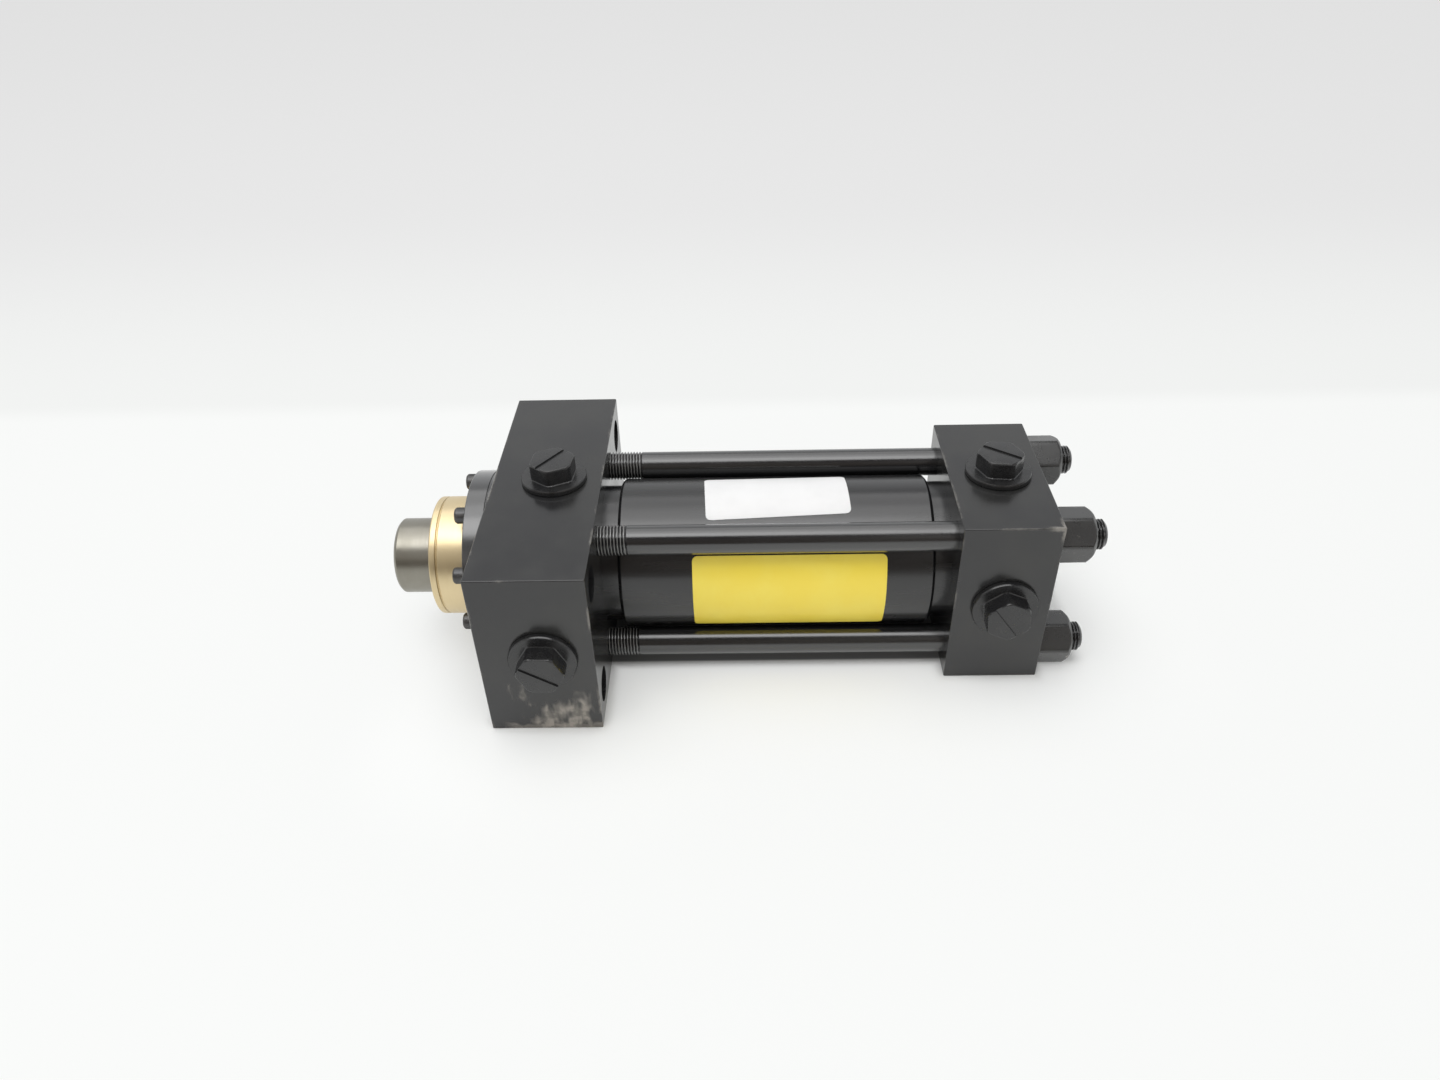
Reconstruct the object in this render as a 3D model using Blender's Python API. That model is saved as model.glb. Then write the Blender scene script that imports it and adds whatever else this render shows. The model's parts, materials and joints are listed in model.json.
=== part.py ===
"""A tie-rod cylinder with a rectangular head mount, built from its separate pieces.

Units are metres. The piston rod points along -X, +Z is up, and both end blocks stand on z = 0.
The origin is the centre of the head block's underside, and the rod is fully drawn in.
"""

import math

import bmesh
import bpy
from mathutils import Quaternion, Vector

MM = 0.001
FULL_TURN = 2 * math.pi
SIXTH_TURN = FULL_TURN / 6
ROD_WARD = Vector((-1, 0, 0))
CAP_WARD = Vector((1, 0, 0))
UP = Vector((0, 0, 1))
FRONT = Vector((0, -1, 0))

# Clearances between pieces that touch or run on the real object
SEAT_GAP = 0.3 * MM
FIT_GAP = 0.3 * MM
STOP_GAP = 0.5 * MM
CUT_OVERSHOOT = 2.0 * MM

# Facets around large, medium, small and rubber rounds; hexagons need a multiple of six
LARGE_FACETS = 36
MEDIUM_FACETS = 24
SMALL_FACETS = 12
SEAL_FACETS = 30

# Stroke, bore and tube
STROKE = 101.6 * MM
BORE_DIAMETER = 50.8 * MM
TUBE_END_WALL = 3.175 * MM
TUBE_STEP = 2.8 * MM
TUBE_NECK_LENGTH = 6.6 * MM
TUBE_SEAT_DEPTH = 3.2 * MM
TUBE_CHAMFER = 1.2 * MM
TUBE_O_RING_SECTION = 1.78 * MM

# Head and cap blocks
HEAD_LENGTH = 44.45 * MM
CAP_LENGTH = 38.1 * MM
BLOCK_CHAMFER = 0.8 * MM
PISTON_STOP_LEDGE = 2.4 * MM
MOUNT_HOLE_DIAMETER = 14.29 * MM
MOUNT_SPACING_Y = 104.775 * MM
MOUNT_EDGE_Y = 12.7 * MM
MOUNT_EDGE_Z = 12.065 * MM

# Tie rods and their nuts
TIE_THREAD_DIAMETER = 12.0 * MM
TIE_SHANK_DIAMETER = 11.8 * MM
TIE_TUBE_GAP = 0.25 * MM
TIE_EDGE_DISTANCE = 11.5 * MM
TIE_ENGAGEMENT = 26.0 * MM
TIE_HEAD_THREAD_SHOW = 10.5 * MM
TIE_CAP_THREAD_HIDDEN = 6.0 * MM
TIE_END_PROJECTION = 18.9 * MM
TIE_CHAMFER = 1.0 * MM
NUT_ACROSS_FLATS = 19.05 * MM
NUT_THICKNESS = 13.3 * MM
NUT_CHAMFER_LENGTH = 1.8 * MM
NUT_FACE_WALL = 2.6 * MM
NUT_TURNS = (21, 24, 12, 33)

# Piston rod
ROD_DIAMETER = 31.75 * MM
ROD_NOSE = 17.5 * MM
ROD_CHAMFER = 1.2 * MM
ROD_THREAD_DIAMETER = 17.6 * MM
ROD_THREAD_DEPTH = 28.6 * MM
ROD_THREAD_CHAMFER = 1.0 * MM
ROD_SPIGOT_DIAMETER = 22.0 * MM
ROD_STUD_DIAMETER = 19.05 * MM
ROD_STUD_PROJECTION = 2.5 * MM

# Piston, its nut and its rings
PISTON_LENGTH = 43.5 * MM
PISTON_CHAMFER = 0.8 * MM
PISTON_SEAL_SECTION = 5.0 * MM
PISTON_SEAL_WIDTH = 6.5 * MM
WEAR_RING_SECTION = 2.5 * MM
WEAR_RING_WIDTH = 9.5 * MM
WEAR_RING_SPLIT = 2.0 * MM
PISTON_O_RING_SECTION = 1.78 * MM
PISTON_NUT_ACROSS_FLATS = 28.6 * MM
PISTON_NUT_THICKNESS = 12.0 * MM
CAP_CAVITY_ROOM = 3.0 * MM

# Rod gland, its seals, its retainer and the retainer's screws
GLAND_WALL = 9.125 * MM
GLAND_NOSE = 26.5 * MM
GLAND_DEPTH = 13.0 * MM
GLAND_CHAMFER = 0.8 * MM
GLAND_LINE_INSET = 2.6 * MM
GLAND_LINE_WIDTH = 0.9 * MM
GLAND_LINE_DEPTH = 0.5 * MM
GLAND_SHOULDER_STEP = 2.0 * MM
GLAND_SHOULDER_LENGTH = 5.0 * MM
GLAND_O_RING_SECTION = 2.62 * MM
GLAND_O_RING_INSET = 2.2 * MM
WIPER_SECTION = 4.0 * MM
WIPER_LENGTH = 5.0 * MM
ROD_SEAL_SECTION = 4.5 * MM
ROD_SEAL_WIDTH = 6.5 * MM
ROD_SEAL_INSET = 16.0 * MM
RETAINER_THICKNESS = 10.0 * MM
RETAINER_RECESS = 0.5 * MM
RETAINER_RIM = 0.95 * MM
RETAINER_CHAMFER = 0.6 * MM
SCREW_COUNT = 8
SCREW_DIAMETER = 4.2 * MM
SCREW_HEAD_DIAMETER = 6.9 * MM
SCREW_HEAD_HEIGHT = 4.2 * MM
SCREW_SOCKET_ACROSS_FLATS = 3.6 * MM
SCREW_SOCKET_DEPTH = 2.1 * MM
SCREW_ENGAGEMENT = 10.0 * MM
SCREW_CHAMFER = 0.4 * MM
SCREW_TO_GLAND_WALL = 1.9 * MM

# Ports and the plastic plugs that close them
HEAD_PORT_INSET = 19.45 * MM
CAP_PORT_INSET = 20.0 * MM
PORT_DEPTH = 14.0 * MM
PORT_PASSAGE_DIAMETER = 10.0 * MM
PLUG_THREAD_DIAMETER = 21.6 * MM
PLUG_THREAD_LENGTH = 10.0 * MM
PLUG_WALL = 2.4 * MM
PLUG_FLANGE_DIAMETER = 26.4 * MM
PLUG_FLANGE_THICKNESS = 2.4 * MM
PLUG_HEX_ACROSS_FLATS = 16.8 * MM
PLUG_HEX_HEIGHT = 6.9 * MM
PLUG_CHAMFER = 0.5 * MM
PLUG_SLOT_WIDTH = 2.0 * MM
PLUG_SLOT_DEPTH = 1.2 * MM

# Radii and diameters that follow from the sizes above
BORE_RADIUS = BORE_DIAMETER / 2
TUBE_END_RADIUS = BORE_RADIUS + TUBE_END_WALL
TUBE_RADIUS = TUBE_END_RADIUS + TUBE_STEP
CAVITY_RADIUS = BORE_RADIUS - PISTON_STOP_LEDGE
TIE_RADIUS = TIE_THREAD_DIAMETER / 2
TIE_HOLE_RADIUS = TIE_RADIUS + FIT_GAP
TIE_OFFSET = (TUBE_RADIUS + TIE_TUBE_GAP + TIE_RADIUS) / math.sqrt(2)
ROD_RADIUS = ROD_DIAMETER / 2
GLAND_BORE_RADIUS = ROD_RADIUS + FIT_GAP
GLAND_RADIUS = ROD_RADIUS + GLAND_WALL
GLAND_SHOULDER_RADIUS = GLAND_RADIUS + GLAND_SHOULDER_STEP
SCREW_HOLE_RADIUS = SCREW_DIAMETER / 2 + FIT_GAP
SCREW_CIRCLE_RADIUS = GLAND_SHOULDER_RADIUS + FIT_GAP + SCREW_TO_GLAND_WALL + SCREW_HOLE_RADIUS
RETAINER_RADIUS = SCREW_CIRCLE_RADIUS + SCREW_HEAD_DIAMETER / 2 + RETAINER_RIM
PISTON_RADIUS = BORE_RADIUS - FIT_GAP
PISTON_BORE_RADIUS = ROD_SPIGOT_DIAMETER / 2 + FIT_GAP

# Outer sizes of the blocks
BLOCK_HEIGHT = 2 * (TIE_OFFSET + TIE_EDGE_DISTANCE)
AXIS_HEIGHT = BLOCK_HEIGHT / 2
HEAD_WIDTH = MOUNT_SPACING_Y + 2 * MOUNT_EDGE_Y
CAP_WIDTH = BLOCK_HEIGHT
MOUNT_OFFSET_Z = AXIS_HEIGHT - MOUNT_EDGE_Z

# Places along the axis
BLOCK_GAP = STROKE + PISTON_LENGTH + 2 * STOP_GAP - 2 * TUBE_SEAT_DEPTH
HEAD_FRONT = -HEAD_LENGTH / 2
HEAD_BACK = HEAD_LENGTH / 2
CAP_FRONT = HEAD_BACK + BLOCK_GAP
CAP_BACK = CAP_FRONT + CAP_LENGTH
HEAD_FLOOR = HEAD_BACK - TUBE_SEAT_DEPTH
CAP_FLOOR = CAP_FRONT + TUBE_SEAT_DEPTH
GLAND_FRONT = HEAD_FRONT - GLAND_NOSE
GLAND_BACK = HEAD_FRONT + GLAND_DEPTH
RETAINER_SEAT = HEAD_FRONT + RETAINER_RECESS
RETAINER_BACK = RETAINER_SEAT - SEAT_GAP
RETAINER_FRONT = RETAINER_BACK - RETAINER_THICKNESS
PISTON_BACK = CAP_FLOOR - STOP_GAP
PISTON_FRONT = PISTON_BACK - PISTON_LENGTH
ROD_FRONT = GLAND_FRONT - ROD_NOSE
PISTON_NUT_BACK = PISTON_BACK + SEAT_GAP + PISTON_NUT_THICKNESS
ROD_BACK = PISTON_NUT_BACK + ROD_STUD_PROJECTION
HEAD_PORT_X = HEAD_BACK - HEAD_PORT_INSET
CAP_PORT_X = CAP_FRONT + CAP_PORT_INSET
AXIS = Vector((0, 0, AXIS_HEIGHT))


def clear_scene():
    for old in list(bpy.data.objects):
        bpy.data.objects.remove(old)


def material(name, colour, roughness, metallic):
    made = bpy.data.materials.new(name)
    made.use_nodes = True
    shader = made.node_tree.nodes["Principled BSDF"]
    shader.inputs["Base Color"].default_value = (*colour, 1.0)
    shader.inputs["Roughness"].default_value = roughness
    shader.inputs["Metallic"].default_value = metallic
    return made


def circle(radius):
    """A round section."""
    return lambda angle: radius


def hexagon(across_flats, corner_radius=math.inf):
    """A hexagonal section whose corners are trimmed to a circle."""

    def radius(angle):
        from_flat = (angle + SIXTH_TURN / 2) % SIXTH_TURN - SIXTH_TURN / 2
        return min(across_flats / 2 / math.cos(from_flat), corner_radius)

    return radius


def finish_mesh(name, shape, finish):
    bmesh.ops.recalc_face_normals(shape, faces=shape.faces)
    mesh = bpy.data.meshes.new(name)
    shape.to_mesh(mesh)
    shape.free()
    mesh.shade_smooth()
    mesh.set_sharp_from_angle(angle=math.radians(30))
    if finish:
        mesh.materials.append(finish)
    return mesh


def turned(name, stations, facets, finish=None, sweep=FULL_TURN):
    """A mesh turned about the X axis from (x, section) stations.

    A section is a radius or a function of the angle. Stations that begin and end on the axis
    make a solid, and others a ring. A sweep of less than a turn leaves the ring split.
    """
    shape = bmesh.new()
    is_split = sweep < FULL_TURN
    is_ring = stations[0][1] != 0
    around = facets + 1 if is_split else facets
    angles = [sweep * step / facets for step in range(around)]
    rings = []
    for x, section in stations:
        if section == 0:
            rings.append([shape.verts.new((x, 0, 0))] * around)
            continue
        radius = section if callable(section) else circle(section)
        points = [(x, radius(a) * math.cos(a), radius(a) * math.sin(a)) for a in angles]
        rings.append([shape.verts.new(point) for point in points])
    neighbours = list(zip(rings, rings[1:]))
    if is_ring:
        neighbours.append((rings[-1], rings[0]))
    for here, there in neighbours:
        for step in range(facets):
            after = (step + 1) % around
            corners = (here[step], here[after], there[after], there[step])
            shape.faces.new(list(dict.fromkeys(corners)))
    if is_split:
        shape.faces.new([ring[0] for ring in rings])
        shape.faces.new([ring[-1] for ring in rings])
    return finish_mesh(name, shape, finish)


def block(name, size, chamfer=0, finish=None):
    """A box centred on its origin, with every edge chamfered."""
    shape = bmesh.new()
    bmesh.ops.create_cube(shape, size=1)
    bmesh.ops.scale(shape, vec=size, verts=shape.verts)
    if chamfer:
        bmesh.ops.bevel(shape, geom=shape.edges[:], offset=chamfer, segments=1, affect="EDGES")
    return finish_mesh(name, shape, finish)


def place(name, mesh, location=(0, 0, 0), pointing=CAP_WARD, turn=0, parent=None):
    """An object whose +X axis points one way, spun about it by turn degrees."""
    piece = bpy.data.objects.new(name, mesh)
    bpy.context.scene.collection.objects.link(piece)
    piece.rotation_mode = "QUATERNION"
    spin = Quaternion((1, 0, 0), math.radians(turn))
    piece.rotation_quaternion = CAP_WARD.rotation_difference(pointing) @ spin
    piece.location = location
    piece.parent = parent
    return piece


def cut(piece, mesh, location=(0, 0, 0), pointing=CAP_WARD, parent=None):
    """Cuts a mesh out of a piece, and leaves it as a wire guide."""
    cutter = place(f"{piece.name}_cut", mesh, location, pointing, parent=parent)
    cutter.hide_render = True
    cutter.display_type = "WIRE"
    boolean = piece.modifiers.new(cutter.name, "BOOLEAN")
    boolean.operation = "DIFFERENCE"
    boolean.solver = "EXACT"
    boolean.object = cutter


def drill(name, radius, depth, facets=MEDIUM_FACETS):
    """A round cutter that runs from just above a face to a depth along +X."""
    stations = [(-CUT_OVERSHOOT, 0), (-CUT_OVERSHOOT, radius), (depth, radius), (depth, 0)]
    return turned(name, stations, facets)


def o_ring(name, x, middle_radius, section, finish):
    """A rubber ring of round section."""
    sides = 6
    stations = []
    for side in range(sides):
        angle = FULL_TURN * side / sides
        along = section / 2 * math.cos(angle)
        outward = section / 2 * math.sin(angle)
        stations.append((x + along, middle_radius + outward))
    return turned(name, stations, SEAL_FACETS, finish)


def four_corners(offset_y, offset_z):
    """The places of four like pieces round the axis, with names."""
    return {
        "front_upper": Vector((0, -offset_y, AXIS_HEIGHT + offset_z)),
        "front_lower": Vector((0, -offset_y, AXIS_HEIGHT - offset_z)),
        "rear_upper": Vector((0, offset_y, AXIS_HEIGHT + offset_z)),
        "rear_lower": Vector((0, offset_y, AXIS_HEIGHT - offset_z)),
    }


def screw_places():
    for index in range(SCREW_COUNT):
        angle = FULL_TURN * (index + 0.5) / SCREW_COUNT
        yield AXIS + SCREW_CIRCLE_RADIUS * Vector((0, math.cos(angle), math.sin(angle)))


def tube_seat(face_x, floor_x):
    """Cutter stations for the tube's seat in a block's inner face, from the cavity outwards."""
    inward = math.copysign(1, floor_x - face_x)
    middle = BORE_RADIUS + TUBE_END_WALL / 2
    half = TUBE_O_RING_SECTION / 2 + FIT_GAP
    groove_x = floor_x + inward * (TUBE_O_RING_SECTION + FIT_GAP)
    seat_radius = TUBE_END_RADIUS + FIT_GAP
    mouth_x = face_x - inward * CUT_OVERSHOOT
    return [
        (floor_x, CAVITY_RADIUS),
        (floor_x, middle - half),
        (groove_x, middle - half),
        (groove_x, middle + half),
        (floor_x, middle + half),
        (floor_x, seat_radius),
        (mouth_x, seat_radius),
        (mouth_x, 0),
    ]


def port_cutter(name, reach):
    """A plug's threaded hole and the passage from it to the axis, cut along +X."""
    thread_radius = PLUG_THREAD_DIAMETER / 2 + FIT_GAP
    passage_radius = PORT_PASSAGE_DIAMETER / 2
    return turned(
        name,
        [
            (-CUT_OVERSHOOT, 0),
            (-CUT_OVERSHOOT, thread_radius),
            (PORT_DEPTH, thread_radius),
            (PORT_DEPTH, passage_radius),
            (reach, passage_radius),
            (reach, 0),
        ],
        MEDIUM_FACETS,
    )


def build_head(paint):
    mesh = block("head", (HEAD_LENGTH, HEAD_WIDTH, BLOCK_HEIGHT), BLOCK_CHAMFER, paint)
    head = place("head", mesh, AXIS)
    shoulder_floor = RETAINER_SEAT + GLAND_SHOULDER_LENGTH + SEAT_GAP
    gland_floor = GLAND_BACK + SEAT_GAP
    bore = [
        (HEAD_FRONT - CUT_OVERSHOOT, 0),
        (HEAD_FRONT - CUT_OVERSHOOT, RETAINER_RADIUS + FIT_GAP),
        (RETAINER_SEAT, RETAINER_RADIUS + FIT_GAP),
        (RETAINER_SEAT, GLAND_SHOULDER_RADIUS + FIT_GAP),
        (shoulder_floor, GLAND_SHOULDER_RADIUS + FIT_GAP),
        (shoulder_floor, GLAND_RADIUS + FIT_GAP),
        (gland_floor, GLAND_RADIUS + FIT_GAP),
        (gland_floor, CAVITY_RADIUS),
    ] + tube_seat(HEAD_BACK, HEAD_FLOOR)
    cut(head, turned("head_bore", bore, LARGE_FACETS), AXIS)
    mount_hole = drill("mount_hole", MOUNT_HOLE_DIAMETER / 2, HEAD_LENGTH + CUT_OVERSHOOT)
    for corner in four_corners(MOUNT_SPACING_Y / 2, MOUNT_OFFSET_Z).values():
        cut(head, mount_hole, corner + HEAD_FRONT * CAP_WARD)
    tie_hole = drill("tie_hole", TIE_HOLE_RADIUS, TIE_ENGAGEMENT + SEAT_GAP)
    for corner in four_corners(TIE_OFFSET, TIE_OFFSET).values():
        cut(head, tie_hole, corner + HEAD_BACK * CAP_WARD, ROD_WARD)
    screw_hole = drill("screw_hole", SCREW_HOLE_RADIUS, SCREW_ENGAGEMENT + SEAT_GAP, SMALL_FACETS)
    for centre in screw_places():
        cut(head, screw_hole, centre + RETAINER_SEAT * CAP_WARD)
    cut_ports(head, HEAD_PORT_X, HEAD_WIDTH)
    return head


def cut_ports(piece, x, width):
    """Cuts the port in a block's top face and the one in its front face."""
    top = port_cutter("top_port", AXIS_HEIGHT)
    front = port_cutter("front_port", width / 2)
    cut(piece, top, Vector((x, 0, BLOCK_HEIGHT)), -UP)
    cut(piece, front, Vector((x, -width / 2, AXIS_HEIGHT)), -FRONT)


def build_cap(paint):
    mesh = block("cap", (CAP_LENGTH, CAP_WIDTH, BLOCK_HEIGHT), BLOCK_CHAMFER, paint)
    middle_x = (CAP_FRONT + CAP_BACK) / 2
    cap = place("cap", mesh, AXIS + middle_x * CAP_WARD)
    cavity_floor = ROD_BACK + CAP_CAVITY_ROOM
    bore = [(cavity_floor, 0), (cavity_floor, CAVITY_RADIUS)] + tube_seat(CAP_FRONT, CAP_FLOOR)
    cut(cap, turned("cap_bore", bore, LARGE_FACETS), AXIS)
    tie_hole = drill("tie_hole", TIE_HOLE_RADIUS, CAP_LENGTH + CUT_OVERSHOOT)
    for corner in four_corners(TIE_OFFSET, TIE_OFFSET).values():
        cut(cap, tie_hole, corner + CAP_FRONT * CAP_WARD)
    cut_ports(cap, CAP_PORT_X, CAP_WIDTH)


def build_tube(paint, rubber):
    left = HEAD_FLOOR + SEAT_GAP
    right = CAP_FLOOR - SEAT_GAP
    left_step = HEAD_BACK + TUBE_NECK_LENGTH
    right_step = CAP_FRONT - TUBE_NECK_LENGTH
    stations = [
        (left, BORE_RADIUS),
        (left, TUBE_END_RADIUS),
        (left_step, TUBE_END_RADIUS),
        (left_step, TUBE_RADIUS - TUBE_CHAMFER),
        (left_step + TUBE_CHAMFER, TUBE_RADIUS),
        (right_step - TUBE_CHAMFER, TUBE_RADIUS),
        (right_step, TUBE_RADIUS - TUBE_CHAMFER),
        (right_step, TUBE_END_RADIUS),
        (right, TUBE_END_RADIUS),
        (right, BORE_RADIUS),
    ]
    place("tube", turned("tube", stations, LARGE_FACETS, paint), AXIS)
    middle = BORE_RADIUS + TUBE_END_WALL / 2
    offset = TUBE_O_RING_SECTION / 2
    for name, x in (("head_tube_o_ring", HEAD_FLOOR - offset), ("cap_tube_o_ring", CAP_FLOOR + offset)):
        place(name, o_ring(name, x, middle, TUBE_O_RING_SECTION, rubber), AXIS)


def tie_rod_mesh(paint):
    start = HEAD_BACK - TIE_ENGAGEMENT
    end = CAP_BACK + TIE_END_PROJECTION
    shank_radius = TIE_SHANK_DIAMETER / 2
    taper = TIE_RADIUS - shank_radius
    shank_start = HEAD_BACK + TIE_HEAD_THREAD_SHOW
    shank_end = CAP_BACK - TIE_CAP_THREAD_HIDDEN
    stations = [
        (start, 0),
        (start, TIE_RADIUS - TIE_CHAMFER),
        (start + TIE_CHAMFER, TIE_RADIUS),
        (shank_start, TIE_RADIUS),
        (shank_start + taper, shank_radius),
        (shank_end - taper, shank_radius),
        (shank_end, TIE_RADIUS),
        (end - TIE_CHAMFER, TIE_RADIUS),
        (end, TIE_RADIUS - TIE_CHAMFER),
        (end, 0),
    ]
    return turned("tie_rod", stations, MEDIUM_FACETS, paint)


def hex_nut(name, across_flats, thickness, bore_radius, finish):
    """A hexagonal nut that seats at x = 0, its outer corners turned down."""
    corner = across_flats / 2 / math.cos(SIXTH_TURN / 2)
    face = min(bore_radius + NUT_FACE_WALL, across_flats / 2)
    halfway = (corner + face) / 2
    stations = [
        (0, bore_radius),
        (0, hexagon(across_flats)),
        (thickness - NUT_CHAMFER_LENGTH, hexagon(across_flats)),
        (thickness - NUT_CHAMFER_LENGTH / 2, hexagon(across_flats, halfway)),
        (thickness, hexagon(across_flats, face)),
        (thickness, bore_radius),
    ]
    return turned(name, stations, MEDIUM_FACETS, finish)


def build_tie_rods(paint):
    rod = tie_rod_mesh(paint)
    nut = hex_nut("tie_rod_nut", NUT_ACROSS_FLATS, NUT_THICKNESS, TIE_HOLE_RADIUS, paint)
    corners = four_corners(TIE_OFFSET, TIE_OFFSET)
    for (corner, centre), turn in zip(corners.items(), NUT_TURNS):
        place(f"tie_rod_{corner}", rod, centre)
        place(f"tie_rod_nut_{corner}", nut, centre + (CAP_BACK + SEAT_GAP) * CAP_WARD, turn=turn)


def build_gland(bronze, rubber, polymer):
    """The bronze rod gland with its wiper, rod seal and O-ring."""
    line = GLAND_FRONT + GLAND_LINE_INSET
    line_radius = GLAND_RADIUS - GLAND_LINE_DEPTH
    shoulder_back = RETAINER_SEAT + GLAND_SHOULDER_LENGTH
    ring_back = GLAND_BACK - GLAND_O_RING_INSET
    ring_front = ring_back - GLAND_O_RING_SECTION - 2 * FIT_GAP
    ring_floor = GLAND_RADIUS - GLAND_O_RING_SECTION
    seal_back = GLAND_BACK - ROD_SEAL_INSET
    seal_front = seal_back - ROD_SEAL_WIDTH - 2 * FIT_GAP
    seal_inner = ROD_RADIUS + FIT_GAP
    seal_outer = seal_inner + ROD_SEAL_SECTION
    wiper_front = GLAND_FRONT + SEAT_GAP
    wiper_back = wiper_front + WIPER_LENGTH
    wiper_outer = seal_inner + WIPER_SECTION
    stations = [
        (GLAND_FRONT, wiper_outer + FIT_GAP),
        (GLAND_FRONT, GLAND_RADIUS - GLAND_CHAMFER),
        (GLAND_FRONT + GLAND_CHAMFER, GLAND_RADIUS),
        (line, GLAND_RADIUS),
        (line, line_radius),
        (line + GLAND_LINE_WIDTH, line_radius),
        (line + GLAND_LINE_WIDTH, GLAND_RADIUS),
        (RETAINER_SEAT, GLAND_RADIUS),
        (RETAINER_SEAT, GLAND_SHOULDER_RADIUS),
        (shoulder_back, GLAND_SHOULDER_RADIUS),
        (shoulder_back, GLAND_RADIUS),
        (ring_front, GLAND_RADIUS),
        (ring_front, ring_floor),
        (ring_back, ring_floor),
        (ring_back, GLAND_RADIUS),
        (GLAND_BACK, GLAND_RADIUS),
        (GLAND_BACK, GLAND_BORE_RADIUS),
        (seal_back, GLAND_BORE_RADIUS),
        (seal_back, seal_outer + FIT_GAP),
        (seal_front, seal_outer + FIT_GAP),
        (seal_front, GLAND_BORE_RADIUS),
        (wiper_back + SEAT_GAP, GLAND_BORE_RADIUS),
        (wiper_back + SEAT_GAP, wiper_outer + FIT_GAP),
    ]
    place("rod_gland", turned("rod_gland", stations, LARGE_FACETS, bronze), AXIS)
    ring_x = (ring_front + ring_back) / 2
    ring_radius = ring_floor + FIT_GAP + GLAND_O_RING_SECTION / 2
    place("gland_o_ring", o_ring("gland_o_ring", ring_x, ring_radius, GLAND_O_RING_SECTION, rubber), AXIS)
    wiper = [
        (wiper_front, seal_inner),
        (wiper_front, seal_inner + WIPER_SECTION / 4),
        (wiper_front + WIPER_LENGTH / 3, wiper_outer),
        (wiper_back, wiper_outer),
        (wiper_back, seal_inner + WIPER_SECTION / 3),
    ]
    place("rod_wiper", turned("rod_wiper", wiper, SEAL_FACETS, polymer), AXIS)
    seal = cup_seal(seal_back - FIT_GAP, -ROD_SEAL_WIDTH, seal_inner, seal_outer)
    place("rod_seal", turned("rod_seal", seal, SEAL_FACETS, polymer), AXIS)


def cup_seal(mouth_x, depth, inner, outer):
    """Stations of a U-shaped seal ring whose open mouth is at mouth_x and whose back is depth away."""
    middle = (inner + outer) / 2
    lip = (outer - inner) / 4
    back_x = mouth_x + depth
    root_x = mouth_x + depth / 2
    return [
        (mouth_x, inner),
        (back_x, inner),
        (back_x, outer),
        (mouth_x, outer),
        (mouth_x, outer - lip),
        (root_x, middle),
        (mouth_x, inner + lip),
    ]


def screw_mesh(steel):
    """A socket-head screw whose head seats at x = 0, with its shank along +X."""
    length = SEAT_GAP + RETAINER_THICKNESS + SEAT_GAP + SCREW_ENGAGEMENT
    shank = SCREW_DIAMETER / 2
    head = SCREW_HEAD_DIAMETER / 2
    socket = hexagon(SCREW_SOCKET_ACROSS_FLATS)
    socket_floor = SCREW_SOCKET_DEPTH - SCREW_HEAD_HEIGHT
    stations = [
        (socket_floor, 0),
        (socket_floor, socket),
        (-SCREW_HEAD_HEIGHT, socket),
        (-SCREW_HEAD_HEIGHT, head - SCREW_CHAMFER),
        (-SCREW_HEAD_HEIGHT + SCREW_CHAMFER, head),
        (0, head),
        (0, shank),
        (length, shank),
        (length, 0),
    ]
    return turned("retainer_screw", stations, SMALL_FACETS, steel)


def build_retainer(paint, steel):
    inner = GLAND_RADIUS + FIT_GAP
    stations = [
        (RETAINER_FRONT, inner),
        (RETAINER_FRONT, RETAINER_RADIUS - RETAINER_CHAMFER),
        (RETAINER_FRONT + RETAINER_CHAMFER, RETAINER_RADIUS),
        (RETAINER_BACK, RETAINER_RADIUS),
        (RETAINER_BACK, inner),
    ]
    retainer = place("gland_retainer", turned("gland_retainer", stations, LARGE_FACETS, paint), AXIS)
    hole_depth = RETAINER_THICKNESS + CUT_OVERSHOOT
    hole = drill("retainer_hole", SCREW_HOLE_RADIUS, hole_depth, SMALL_FACETS)
    screw = screw_mesh(steel)
    for number, centre in enumerate(screw_places(), start=1):
        cut(retainer, hole, centre + RETAINER_FRONT * CAP_WARD)
        seat = centre + (RETAINER_FRONT - SEAT_GAP) * CAP_WARD
        place(f"retainer_screw_{number}", screw, seat, turn=number * 25)


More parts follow.
